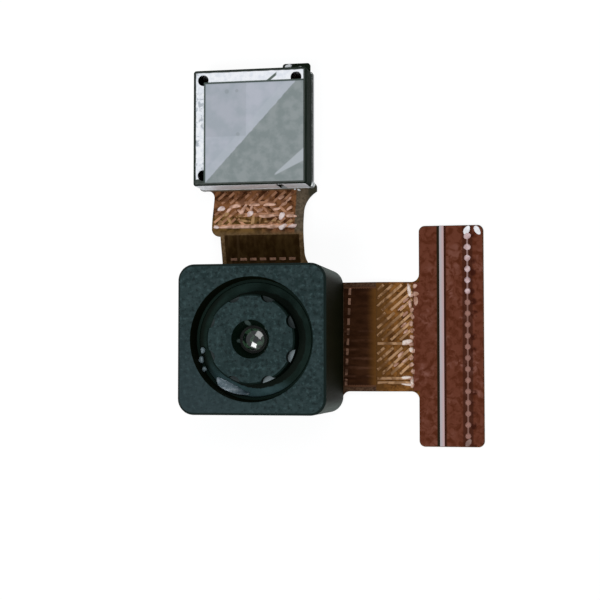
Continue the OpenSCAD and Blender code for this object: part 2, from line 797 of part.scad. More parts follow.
// Solder balls, pressed flat on the flex circuit and on the chip
module solder_balls() {
    first = -(balls_per_side - 1) * ball_pitch / 2;
    color([0.75, 0.76, 0.78]) at_head()
        for (i = [0:balls_per_side - 1], j = [0:balls_per_side - 1])
            translate([first + i * ball_pitch, first + j * ball_pitch, flex_top])
                intersection() {
                    cylinder(h = ball_h, d = ball_d);
                    translate([0, 0, ball_h / 2]) sphere(d = ball_d);
                }
}

// Capacitors beside the processor
module head_capacitors() {
    pitch = chip_w / head_capacitor_count;
    color([0.62, 0.50, 0.38]) at_head()
        for (side = [-1, 1], i = [0:head_capacitor_count - 1])
            translate([(i + 0.5) * pitch - chip_w / 2, side * head_capacitor_y, flex_top])
                capacitor();
}

// Gold fingers under the cross bar, one for each contact
module contact_fingers() {
    color([0.83, 0.67, 0.30])
        for (i = [0:contact_count - 1])
            translate([end_tip - end_stiffener_inset - contact_l, contact_y(i) - contact_w / 2, 0])
                cube([contact_l, contact_w, contact_t]);
}

// Place of contact i along Y
function contact_y(i) = end_y + (i - (contact_count - 1) / 2) * contact_pitch;

// Film that stiffens the cross bar and laps onto the tail
module end_stiffener() {
    inset = end_stiffener_inset;
    color([0.43, 0.20, 0.15]) {
        at_end() translate([0, 0, end_stiffener_z])
            rounded_plate(end_w - 2 * inset, end_l - 2 * inset, end_corner_r, end_stiffener_t);
        intersection() {
            tail_band(flex_t, end_stiffener_t);
            tall() translate([end_x0 - end_lap, tail_y - tail_w / 2 + inset])
                square([end_lap + flex_fillet_r, tail_w - 2 * inset]);
        }
    }
}

// White line that shows how far the end plugs in
module insertion_mark() {
    color([0.90, 0.84, 0.83])
        translate([end_tip - mark_offset - mark_w / 2, end_y - end_l / 2 + end_stiffener_inset, end_top])
            cube([mark_w, end_l - 2 * end_stiffener_inset, mark_t]);
}

// Row of plated vias on the cross bar, one for each contact, and the line that links them
module end_vias() {
    color([0.80, 0.60, 0.52]) translate([end_tip - via_offset, 0, end_top]) {
        for (i = [0:contact_count - 1])
            translate([0, contact_y(i), 0]) cylinder(h = via_h, d1 = via_d, d2 = via_d * 0.6);
        translate([-via_link_w / 2, contact_y(0), 0])
            cube([via_link_w, contact_y(contact_count - 1) - contact_y(0), via_h / 2]);
    }
}

// Dark film on the tail, next to the holder
module tail_shield_film() {
    color([0.20, 0.11, 0.07]) intersection() {
        tail_band(flex_t, shield_film_t);
        tall() translate([half_w + film_gap, tail_y - tail_w / 2 + film_margin])
            square([tail_film_l, tail_w - 2 * film_margin]);
    }
}

// Dark film on the tongue, next to the holder
module tongue_shield_film() {
    color([0.17, 0.10, 0.06]) intersection() {
        tongue_band(flex_t, shield_film_t);
        tall() translate([tongue_edge_x - tongue_w + film_margin, half_w + film_gap])
            square([tongue_w - 2 * film_margin, tongue_film_l]);
    }
}

// Rows of stitches that tie the shield films to ground
module ground_stitches() {
    color([0.60, 0.42, 0.35]) {
        intersection() {
            tail_band(flex_t + shield_film_t, trace_t);
            tall() translate([half_w + tail_stitch_offset, tail_y]) rotate(-tail_stitch_slant)
                stitch_row(tail_w - 2 * film_margin);
        }
        intersection() {
            tongue_band(flex_t + shield_film_t, trace_t);
            tall() translate([tongue_edge_x - tongue_w / 2, half_w + tongue_stitch_offset]) rotate(90)
                stitch_row(tongue_w - 2 * film_margin);
        }
    }
}

// Row of stitches along Y, in the middle of the origin, that fits the length l
module stitch_row(l) {
    count = floor((l - stitch_l) / stitch_pitch) + 1;
    for (i = [0:count - 1])
        translate([0, (i - (count - 1) / 2) * stitch_pitch])
            square([stitch_w, stitch_l], center = true);
}

// Raised traces on the tail: fields of slanted ones with straight ones between
module tail_traces() {
    x0 = half_w + film_gap + tail_film_l + trace_w / 2;
    run = end_x0 - end_lap - trace_w / 2 - x0;
    side = tail_y - tail_w / 2;
    color([0.78, 0.58, 0.36]) intersection() {
        tail_band(flex_t, trace_t);
        tall() {
            for (s = tail_straight)
                translate([x0, side + s * tail_w - trace_w / 2]) square([run, trace_w]);
            for (s = tail_slanted)
                translate([x0, side + s[0] * tail_w]) slanted_field(run, (s[1] - s[0]) * tail_w);
        }
    }
}

// Raised traces on the wide part of the tongue: lanes across it with slanted fields between
module tongue_traces() {
    y0 = tongue_step_y + flex_fillet_r / 2;
    run = head_y0 - y0 - trace_w;
    x0 = tongue_edge_x - tongue_head_w + film_gap + trace_w / 2;
    span = tongue_head_w - film_gap - trace_w - film_margin * 2;
    color([0.72, 0.48, 0.36]) intersection() {
        tongue_band(flex_t, trace_t);
        tall() translate([x0, y0]) {
            for (s = tongue_lanes)
                translate([s[1] * span, s[0] * run]) square([(s[2] - s[1]) * span, lane_w]);
            for (s = tongue_fields)
                translate([(s[2] + s[3]) * span / 2, (s[0] + s[1]) * run / 2])
                    mirror([(1 - s[4]) / 2, 0])
                        translate([(s[2] - s[3]) * span / 2, (s[0] - s[1]) * run / 2])
                            slanted_field((s[3] - s[2]) * span, (s[1] - s[0]) * run);
        }
    }
}

// Parallel slanted traces that fill a field of length l and width w from the origin
module slanted_field(l, w) {
    slope = tan(trace_slant);
    step = trace_pitch / sin(trace_slant);
    reach = w / slope;
    for (foot = [step / 2 - ceil(reach / step) * step:step:l]) {
        from = max(foot, 0);
        to = min(foot + reach, l);
        length = (to - from) / cos(trace_slant);
        if (length > trace_min_l)
            translate([from, (from - foot) * slope]) rotate(trace_slant)
                translate([0, -trace_w / 2]) square([length, trace_w]);
    }
}

base_stiffener();
flex_circuit();
holder_glue();
lens_holder();
lens_barrel();
front_lens();
aperture_stop();
second_lens();
lens_spacer();
third_lens();
lens_retainer();
thread_lock();
ir_filter();
image_sensor();
die_attach();
bond_wires();
board_capacitors();
head_stiffener();
shield_can();
can_solder();
can_film();
signal_processor();
solder_balls();
head_capacitors();
contact_fingers();
end_stiffener();
insertion_mark();
end_vias();
tail_shield_film();
tongue_shield_film();
ground_stitches();
tail_traces();
tongue_traces();
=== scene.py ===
import math
import random

import bmesh
import bpy
from mathutils import Matrix, Vector
from mathutils.bvhtree import BVHTree


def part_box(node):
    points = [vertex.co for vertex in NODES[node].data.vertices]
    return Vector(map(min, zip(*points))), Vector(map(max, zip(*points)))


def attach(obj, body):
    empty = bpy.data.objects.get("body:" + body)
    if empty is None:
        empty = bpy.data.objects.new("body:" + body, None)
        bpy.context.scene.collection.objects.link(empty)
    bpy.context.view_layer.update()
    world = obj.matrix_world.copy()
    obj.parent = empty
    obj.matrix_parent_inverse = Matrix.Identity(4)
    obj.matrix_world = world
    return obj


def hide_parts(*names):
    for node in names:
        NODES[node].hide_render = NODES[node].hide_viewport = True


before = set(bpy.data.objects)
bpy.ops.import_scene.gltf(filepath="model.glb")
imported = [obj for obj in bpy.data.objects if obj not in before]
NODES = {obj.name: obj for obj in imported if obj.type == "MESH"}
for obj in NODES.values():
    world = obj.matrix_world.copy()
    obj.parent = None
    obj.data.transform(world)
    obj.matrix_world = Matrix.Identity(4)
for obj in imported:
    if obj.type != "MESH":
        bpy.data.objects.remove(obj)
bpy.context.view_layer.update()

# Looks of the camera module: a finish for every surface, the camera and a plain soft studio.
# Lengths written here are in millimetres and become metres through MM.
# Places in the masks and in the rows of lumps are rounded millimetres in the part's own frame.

MM = 0.001
PER_METRE = 1 / MM
SEED = 7
VIAS = 19
LINE_PITCH = 0.41  # of the faint lines in the dark films
TOOTH_PITCH = 0.11  # of the teeth along the tail film's pale strips
BEAD_RADIUS = 2.34  # of the adhesive bead's middle line about the lens axis
SUNK = 0.004  # how deep a lump's rim lies in the surface under it
EYE = (12.87, -1.19, 60.67)
AHEAD = (-0.1891, 0.0501, -0.9807)
FLOOR_GLOW = 1.06
FLOOR_SHARE = 0.86  # of the floor's own glow in what the camera sees; the rest shows the shadow


def box_mm(name):
    """Low and high corner of a node's box in millimetres."""
    return tuple(tuple(c * PER_METRE for c in corner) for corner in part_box(name))


# ---------------------------------------------------------------- node-tree helpers


class Tree:
    """A material's node tree, with one short call for each kind of node that is used here."""

    def __init__(self, name):
        self.material = bpy.data.materials.new(name)
        self.material.use_nodes = True
        self.nodes = self.material.node_tree.nodes
        self.links = self.material.node_tree.links
        self.shader = self.nodes["Principled BSDF"]
        self.point = self.vector_math("MULTIPLY", self.node("ShaderNodeTexCoord").outputs["Object"],
                                      (PER_METRE,) * 3)
        self.axes = self.node("ShaderNodeSeparateXYZ")
        self.links.new(self.point, self.axes.inputs[0])

    def node(self, kind, **settings):
        made = self.nodes.new(kind)
        for key, value in settings.items():
            setattr(made, key, value)
        return made

    def feed(self, socket, value):
        """Links an output to a socket, or writes a number or colour into it."""
        if isinstance(value, bpy.types.NodeSocket):
            self.links.new(value, socket)
        elif hasattr(socket.default_value, "__len__") and len(value) < len(socket.default_value):
            socket.default_value = (*value, 1.0)
        else:
            socket.default_value = value

    def set(self, **values):
        """Writes or links the shader's own sockets, such as base_color or roughness."""
        for key, value in values.items():
            self.feed(self.shader.inputs[key.replace("_", " ").title().replace("Ior", "IOR")], value)

    def math(self, operation, a, b=0.0, c=0.0):
        made = self.node("ShaderNodeMath", operation=operation)
        for socket, value in zip(made.inputs, (a, b, c)):
            self.feed(socket, value)
        return made.outputs[0]

    def vector_math(self, operation, a, b):
        made = self.node("ShaderNodeVectorMath", operation=operation)
        self.feed(made.inputs[0], a)
        self.feed(made.inputs[1], b)
        return made.outputs["Value" if operation == "DOT_PRODUCT" else "Vector"]

    def axis(self, name):
        """The object coordinate X, Y or Z in millimetres."""
        return self.axes.outputs[name]

    def stretched(self, scale, offset=(0.0, 0.0, 0.0)):
        """The object coordinates, scaled along each axis."""
        return self.vector_math("MULTIPLY", self.vector_math("SUBTRACT", self.point, offset), scale)

    def noise(self, scale, detail=3.0, roughness=0.55, vector=None, distortion=0.0):
        made = self.node("ShaderNodeTexNoise")
        self.feed(made.inputs["Vector"], vector or self.point)
        made.inputs["Scale"].default_value = scale
        made.inputs["Detail"].default_value = detail
        made.inputs["Roughness"].default_value = roughness
        made.inputs["Distortion"].default_value = distortion
        return made.outputs["Fac"]

    def cells(self, scale, randomness, vector=None):
        made = self.node("ShaderNodeTexVoronoi", feature="F1")
        self.feed(made.inputs["Vector"], vector or self.point)
        made.inputs["Scale"].default_value = scale
        made.inputs["Randomness"].default_value = randomness
        return made.outputs["Distance"]

    def ramp(self, value, low, high):
        """0 below low, 1 above high and smooth between; the other way round if high is lower."""
        made = self.node("ShaderNodeMapRange", interpolation_type="SMOOTHSTEP")
        for socket, number in zip(made.inputs, (value, low, high, 0.0, 1.0)):
            self.feed(socket, number)
        return made.outputs[0]

    def mix(self, share, a, b):
        """Colour a where share is 0, and b where it is 1."""
        made = self.node("ShaderNodeMix", data_type="RGBA")
        self.feed(made.inputs[0], share)
        self.feed(made.inputs[6], a)
        self.feed(made.inputs[7], b)
        return made.outputs[2]

    def share(self, value, part):
        """A value times a number."""
        return self.math("MULTIPLY", value, part)

    def both(self, a, b):
        """1 only where both masks are 1."""
        return self.math("MULTIPLY", a, b)

    def less(self, a, b):
        """a minus b."""
        return self.math("SUBTRACT", a, b)

    def least(self, a, b):
        """The smaller of two."""
        return self.math("MINIMUM", a, b)

    def most(self, a, b):
        """The larger of two."""
        return self.math("MAXIMUM", a, b)

    def above_line(self, at, slope):
        """How far Y lies above a slanted line through a place in the plane, in millimetres."""
        rise = self.share(self.less(self.axis("X"), at[0]), slope)
        return self.less(self.less(self.axis("Y"), at[1]), rise)

    def size(self, name):
        """Distance from the lens axis along X or Y in millimetres."""
        return self.math("ABSOLUTE", self.axis(name))

    def radius(self):
        """Distance from the lens axis in millimetres."""
        squares = self.math("MULTIPLY_ADD", self.axis("X"), self.axis("X"),
                            self.math("MULTIPLY", self.axis("Y"), self.axis("Y")))
        return self.math("SQRT", squares)

    def toward(self, angle, low, high):
        """0 up to low millimetres from the lens axis in one direction, and 1 beyond high."""
        along = self.math("MULTIPLY_ADD", self.axis("X"), math.cos(math.radians(angle)),
                          self.math("MULTIPLY", self.axis("Y"), math.sin(math.radians(angle))))
        return self.ramp(along, low, high)

    def spot(self, at, size):
        """1 at a place in the plane and 0 beyond a radius, with a soft edge."""
        dx = self.math("SUBTRACT", self.axis("X"), at[0])
        dy = self.math("SUBTRACT", self.axis("Y"), at[1])
        squares = self.math("MULTIPLY_ADD", dx, dx, self.math("MULTIPLY", dy, dy))
        return self.ramp(squares, size * size, 0.25 * size * size)

    def between(self, share, a, b):
        """Number a where share is 0, and b where it is 1."""
        return self.math("MULTIPLY_ADD", share, b - a, a)

    def bump(self, height, depth_mm, below=None):
        """Relief of depth_mm from a height of 0 to 1, on top of another normal."""
        made = self.node("ShaderNodeBump")
        made.inputs["Distance"].default_value = depth_mm * MM
        made.inputs["Strength"].default_value = 1.0
        self.feed(made.inputs["Height"], height)
        if below is not None:
            self.feed(made.inputs["Normal"], below)
        return made.outputs["Normal"]

    def soft_edges(self, radius_mm):
        """(normal with rounded edges, 0 on faces rising to 1 near the edges)"""
        made = self.node("ShaderNodeBevel", samples=6)
        made.inputs["Radius"].default_value = radius_mm * MM
        facing = self.node("ShaderNodeNewGeometry").outputs["True Normal"]
        bent = self.vector_math("DOT_PRODUCT", made.outputs[0], facing)
        return made.outputs[0], self.ramp(bent, 0.995, 0.80)

    def tilted(self, level, steep):
        """0 on level faces, rising to 1 as the face tilts from level to steep."""
        made = self.node("ShaderNodeSeparateXYZ")
        self.links.new(self.node("ShaderNodeNewGeometry").outputs["True Normal"], made.inputs[0])
        return self.ramp(made.outputs["Z"], level, steep)


def wear(*nodes, material):
    """Gives a CAD node's object, or several, one material on all its slots."""
    for name in nodes:
        mesh = NODES[name].data
        mesh.materials.clear()
        mesh.materials.append(material)


def wear_by_side(name, materials, choose):
    """Gives a CAD node's faces one of several materials, by the way each face looks."""
    mesh = NODES[name].data
    mesh.materials.clear()
    for material in materials:
        mesh.materials.append(material)
    for face in mesh.polygons:
        face.material_index = choose(face.normal)


def level_or_wall(normal):
    """Level and bevelled faces that look up, or all others."""
    return 0 if normal.z > 0.5 else 1


def bright_or_bend(normal):
    """The can's level top and its front wall, or its bends and other walls."""
    return 0 if normal.z > 0.93 or normal.y < -0.93 else 1


# ---------------------------------------------------------------- materials


def moulded_face(tree, dark, light):
    """Mottled tone of matt moulded plastic, shared by the holder and the barrel."""
    clouds = tree.noise(0.8, detail=4.0)
    mottle = tree.noise(4.2, detail=3.0, roughness=0.6)
    speck = tree.noise(6.0, detail=2.0)
    tone = tree.mix(tree.ramp(mottle, 0.42, 0.60), dark, light)
    tone = tree.mix(tree.share(tree.ramp(clouds, 0.42, 0.66), 0.40), tone, tuple(1.3 * c for c in light))
    tone = tree.mix(tree.share(tree.ramp(speck, 0.56, 0.68), 0.7), tone, tuple(1.8 * c for c in light))
    return tree.mix(tree.share(tree.ramp(speck, 0.44, 0.34), 0.7), tone, tuple(0.45 * c for c in dark))


def holder_face(name):
    """Face of the holder: matt and mottled, painted lighter towards the lower left, with painted shade on
    the bevel and on the well floor.
    """
    tree = Tree(name)
    tone = moulded_face(tree, (0.0120, 0.0265, 0.0270), (0.0230, 0.0415, 0.0430))
    # painted light: the face is lighter towards the lower left, the near lamp's side
    tone = tree.mix(tree.share(tree.toward(-135.0, 0.5, 4.2), 0.5), tone, (0.030, 0.048, 0.055))
    # painted shade on the bevel, where the face tilts away from level
    tone = tree.mix(tree.tilted(0.97, 0.80), tone, (0.0045, 0.0125, 0.0105))
    # painted shade on the well floor, down in the recess
    well = tree.ramp(tree.axis("Z"), 4.5, 4.4)
    tone = tree.mix(well, tone, (0.0030, 0.0130, 0.0090))
    tree.set(
        base_color=tone,
        roughness=0.62,
        specular_ior_level=0.10,
        normal=tree.bump(tree.noise(26.0, detail=2.0), 0.010, tree.soft_edges(0.04)[0]),
    )
    return tree.material


def holder_wall(name):
    """Walls of the holder, near black as painted shade, with a painted sheen down the upright corners."""
    tree = Tree(name)
    streaks = tree.noise(1.6, detail=3.0, vector=tree.stretched((1.6, 1.6, 0.25)))
    # painted shade: the face's plastic made near black on the walls
    tone = tree.mix(streaks, (0.0022, 0.0042, 0.0012), (0.0075, 0.0095, 0.0032))
    # painted highlight: a sheen down the upright corners
    corner = tree.both(tree.ramp(tree.size("X"), 2.60, 3.02), tree.ramp(tree.size("Y"), 2.55, 3.0))
    tone = tree.mix(tree.both(corner, tree.between(streaks, 0.5, 1.0)), tone, (0.100, 0.128, 0.112))
    # painted shade: the corner sheen gives way to a dark band just under the top edge
    brink = tree.ramp(tree.axis("Z"), 4.75, 4.9)
    tone = tree.mix(tree.both(corner, brink), tone, (0.006, 0.014, 0.010))
    tree.set(
        base_color=tone,
        roughness=0.6,
        specular_ior_level=0.04,
        normal=tree.bump(tree.noise(20.0), 0.008),
    )
    return tree.material


def barrel_face(name):
    """Level faces of the barrel: mottled nose; painted shade in the notches, with painted light on the
    notch floors of the near side; a well floor painted lighter towards the lower side, with a painted
    shadow round the nose and painted shade at its left and lower rims; painted shade on the bevels.
    """
    tree = Tree(name)
    height = tree.axis("Z")
    reach = tree.radius()
    tone = moulded_face(tree, (0.0115, 0.0255, 0.0260), (0.0210, 0.0395, 0.0405))
    # painted shade on the bevels, where the face tilts away from level
    tone = tree.mix(tree.tilted(0.97, 0.80), tone, (0.0035, 0.0105, 0.0085))

    # painted shade down in the notches, and painted light on the floors of those on the near side
    notch = tree.both(tree.ramp(height, 4.90, 4.84), tree.ramp(height, 4.50, 4.56))
    near_side = tree.between(tree.toward(-45.0, 1.15, 1.75), 0.16, 1.0)
    lit = tree.both(tree.ramp(reach, 1.69, 1.76), near_side)
    tone = tree.mix(notch, tone, (0.0020, 0.0065, 0.0050))
    tone = tree.mix(tree.both(notch, lit), tone, (0.230, 0.275, 0.290))

    # well floor: painted light towards the lower side, a painted shadow of the nose round its foot, and
    # painted shade along the left and lower rims
    floor = tree.ramp(height, 4.45, 4.35)
    patches = tree.noise(1.4, detail=4.0)
    far = tree.mix(tree.ramp(patches, 0.35, 0.65), (0.0030, 0.0130, 0.0090), (0.0080, 0.0225, 0.0180))
    near = tree.mix(tree.ramp(patches, 0.35, 0.65), (0.0270, 0.0620, 0.0670), (0.0450, 0.0900, 0.0990))
    ground = tree.mix(tree.toward(-104.0, 1.2, 2.15), far, near)
    ragged = tree.noise(3.5, detail=3.0)
    shade_edge = tree.math("MULTIPLY_ADD", tree.math("DIVIDE", tree.axis("X"), reach), 0.12, 2.02)
    shade_edge = tree.math("MULTIPLY_ADD", ragged, 0.16, shade_edge)
    shade = tree.ramp(tree.less(reach, shade_edge), 0.03, -0.02)
    left = tree.both(tree.ramp(reach, 2.22, 2.40), tree.toward(170.0, 1.1, 2.1))
    foot = tree.both(tree.ramp(reach, 2.42, 2.50), tree.toward(-110.0, 1.2, 2.1))
    dark = tree.most(shade, tree.most(left, foot))
    ground = tree.mix(dark, ground, (0.0006, 0.0045, 0.0018))
    tone = tree.mix(floor, tone, ground)
    tree.set(
        base_color=tone,
        roughness=0.60,
        specular_ior_level=0.09,
        normal=tree.bump(tree.noise(24.0, detail=2.0), 0.010, tree.soft_edges(0.03)[0]),
    )
    return tree.material


def barrel_wall(name):
    """Upright faces of the barrel and its cone: black, the cone's own black and painted shade on the nose's
    walls, with three pale painted highlights in the cone.
    """
    tree = Tree(name)
    grain = tree.noise(9.0)
    # the cone's own black, and painted shade on the nose's upright walls
    tone = tree.mix(grain, (0.0006, 0.0045, 0.0018), (0.0022, 0.0090, 0.0050))
    # painted highlights: three pale spots of light in the cone
    for at, size in (((-0.17, 0.70), 0.13), ((-0.60, -0.06), 0.10), ((0.68, 0.46), 0.09)):
        tone = tree.mix(tree.spot(at, size), tone, (0.075, 0.110, 0.100))
    tree.set(base_color=tone, roughness=0.55, specular_ior_level=0.05, normal=tree.bump(grain, 0.006))
    return tree.material


def front_glass(name):
    """Coated front lens: nearly black, with faint green patches of painted reflection from the coating."""
    tree = Tree(name)
    wisps = tree.noise(3.6, detail=3.0, distortion=1.2)
    # painted reflection: green patches where the coating reflects
    tone = tree.mix(tree.ramp(wisps, 0.48, 0.60), (0.0020, 0.0055, 0.0040), (0.036, 0.085, 0.045))
    tone = tree.mix(tree.ramp(tree.radius(), 0.46, 0.50), tone, (0.0006, 0.0024, 0.0012))
    rim = tree.ramp(tree.radius(), 0.45, 0.49)
    tree.set(
        base_color=tone,
        roughness=tree.most(tree.between(wisps, 0.06, 0.12), rim),
        ior=1.62,
        transmission_weight=0.20,
        coat_weight=tree.share(tree.ramp(tree.radius(), 0.48, 0.44), 0.8),
        coat_roughness=0.05,
    )
    return tree.material


def lens_glass(name, tint, coating_nm):
    """Coated inner lens with a faint coloured reflection."""
    tree = Tree(name)
    smear = tree.noise(6.0, detail=2.0)
    tree.set(
        base_color=tree.mix(smear, tuple(0.6 * c for c in tint), tint),
        roughness=tree.between(smear, 0.02, 0.06),
        ior=1.53,
        transmission_weight=0.75,
        coat_weight=1.0,
        coat_roughness=0.02,
    )
    tree.shader.inputs["Thin Film Thickness"].default_value = coating_nm
    tree.shader.inputs["Thin Film IOR"].default_value = 1.38
    return tree.material


def blackened(name):
    """Blackened rings inside the barrel."""
    tree = Tree(name)
    grain = tree.noise(30.0)
    tree.set(
        base_color=tree.mix(grain, (0.004, 0.005, 0.005), (0.012, 0.013, 0.014)),
        roughness=tree.between(grain, 0.55, 0.75),
        normal=tree.bump(grain, 0.006),
    )
    return tree.material


def lock_adhesive(name):
    """Cured blue-grey adhesive in the well, palest at the bead's far end, where the pale tone is a painted
    highlight.
    """
    tree = Tree(name)
    waves = tree.noise(3.4, detail=3.0, distortion=0.8)
    pale = tree.mix(tree.ramp(waves, 0.38, 0.62), (0.200, 0.270, 0.310), (0.420, 0.500, 0.560))
    deep = tree.mix(tree.ramp(waves, 0.38, 0.62), (0.040, 0.066, 0.082), (0.085, 0.125, 0.150))
    # painted highlight: pale towards the bead's far end, deep towards the other
    tone = tree.mix(tree.ramp(tree.axis("X"), -1.35, -0.45), pale, deep)
    tree.set(
        # the drops beyond X -1.85 take a mid tone, partly their own and partly painted highlight
        base_color=tree.mix(tree.ramp(tree.axis("X"), -1.85, -2.05), tone, (0.150, 0.200, 0.220)),
        roughness=tree.between(waves, 0.25, 0.40),
        specular_ior_level=0.35,
        normal=tree.bump(waves, 0.03),
    )
    return tree.material


def foot_adhesive(name):
    """Dark adhesive under the holder and the die."""
    tree = Tree(name)
    waves = tree.noise(3.2, detail=2.0, distortion=0.6)
    tree.set(
        base_color=tree.mix(tree.ramp(waves, 0.35, 0.65), (0.012, 0.016, 0.012), (0.040, 0.044, 0.036)),
        roughness=tree.between(waves, 0.35, 0.50),
        normal=tree.bump(waves, 0.03),
    )
    return tree.material


def flex_film(name):
    """Polyimide over copper: amber by the cross bar, brown under the traces and dull at the rims."""
    tree = Tree(name)
    x, y = tree.axis("X"), tree.axis("Y")
    patches = tree.noise(2.6, detail=4.0, roughness=0.62, distortion=0.5)
    grain = tree.noise(8.0, detail=3.0)

    amber = tree.mix(tree.ramp(patches, 0.34, 0.66), (0.070, 0.024, 0.0030), (0.260, 0.105, 0.022))
    amber = tree.mix(tree.ramp(x, 5.6, 4.75), amber, (0.105, 0.043, 0.008))
    rim = tree.mix(tree.ramp(grain, 0.35, 0.65), (0.046, 0.020, 0.010), (0.090, 0.048, 0.026))
    tail = tree.mix(tree.ramp(x, 4.80, 4.74), amber, rim)

    umber = tree.mix(tree.ramp(patches, 0.36, 0.62), (0.046, 0.014, 0.0035), (0.230, 0.095, 0.038))
    olive = tree.mix(tree.ramp(patches, 0.36, 0.62), (0.060, 0.030, 0.005), (0.195, 0.105, 0.030))
    umber = tree.mix(tree.both(tree.ramp(y, 5.9, 5.6), tree.ramp(x, 0.2, -1.0)), umber, olive)
    dull = tree.mix(tree.ramp(grain, 0.35, 0.65), (0.080, 0.060, 0.038), (0.140, 0.105, 0.070))
    margin = tree.most(tree.ramp(x, 1.04, 1.10), tree.ramp(y, 6.98, 7.04))
    tongue = tree.mix(margin, umber, dull)
    low = tree.mix(tree.ramp(grain, 0.35, 0.65), (0.110, 0.063, 0.026), (0.190, 0.118, 0.056))
    rising = tree.ramp(y, 5.15, 4.85)
    beyond_body = tree.ramp(y, 2.95, 3.10)
    tone = tree.mix(beyond_body, tail, tree.mix(rising, tongue, low))

    ear = tree.both(tree.ramp(x, 1.50, 1.75), tree.ramp(y, 6.4, 6.8))
    tone = tree.mix(ear, tone, (0.034, 0.032, 0.020))
    rear_edge = tree.ramp(y, 12.40, 12.50)
    tone = tree.mix(rear_edge, tone, (0.006, 0.012, 0.005))
    normal, edge = tree.soft_edges(0.03)
    tone = tree.mix(tree.share(edge, 0.6), tone, (0.030, 0.020, 0.012))
    tree.set(
        base_color=tone,
        roughness=tree.between(grain, 0.42, 0.58),
        specular_ior_level=0.05,
        normal=tree.bump(patches, 0.030, tree.bump(grain, 0.008, normal)),
    )
    return tree.material


def shield_film(name, tones, along, low, high, free_edge=None, rims=None):
    """Dark brown film; traces beneath show as faint lines, and its thin free edge lets the amber through.

    free_edge and rims are given together: the places of its free edge and of its two long edges, where a
    paler strip with a finely toothed inner edge runs.
    """
    dark, light, line = tones
    tree = Tree(name)
    across = "Y" if along == "X" else "X"
    stretch = (0.45, 1.4, 1.0) if along == "X" else (1.4, 0.6, 1.0)
    clouds = tree.noise(2.4, detail=4.0, roughness=0.62, vector=tree.stretched(stretch))
    drift = tree.math("MULTIPLY_ADD", clouds, 0.16, tree.axis(across))
    wave = tree.math("SINE", tree.share(drift, 2 * math.pi / LINE_PITCH))
    lines = tree.both(tree.ramp(wave, 0.35, 1.0), tree.ramp(tree.noise(1.1), 0.36, 0.60))
    lines = tree.both(lines, tree.ramp(tree.axis(across), high, low))
    normal, edge = tree.soft_edges(0.025)
    tone = tree.mix(tree.ramp(clouds, 0.34, 0.66), dark, light)
    tone = tree.mix(tree.share(lines, 0.65), tone, line)
    tone = tree.mix(tree.share(edge, 0.4), tone, line)
    if free_edge is not None:
        ragged = tree.math("MULTIPLY_ADD", clouds, 0.12, tree.axis(along))
        tone = tree.mix(tree.ramp(ragged, free_edge - 0.42, free_edge + 0.14), tone, (0.125, 0.050, 0.0095))
        half = (rims[1] - rims[0]) / 2
        off = tree.math("ABSOLUTE", tree.less(tree.axis(across), (rims[0] + rims[1]) / 2))
        short_of_edge = tree.ramp(tree.axis(along), free_edge - 0.10, free_edge - 0.40)
        inside = tree.both(tree.ramp(off, half - 0.28, half - 0.14), short_of_edge)
        tone = tree.mix(tree.share(inside, 0.6), tone, (0.016, 0.0045, 0.0012))
        teeth = tree.math("SINE", tree.share(tree.axis(along), 2 * math.pi / TOOTH_PITCH))
        strip = tree.ramp(tree.math("MULTIPLY_ADD", teeth, 0.014, off), half - 0.095, half - 0.075)
        tone = tree.mix(tree.share(strip, 0.85), tone, (0.105, 0.046, 0.024))
    tree.set(
        base_color=tone,
        roughness=tree.between(clouds, 0.55, 0.70),
        specular_ior_level=0.04,
        normal=tree.bump(lines, 0.015, tree.bump(tree.noise(14.0), 0.006, normal)),
    )
    return tree.material


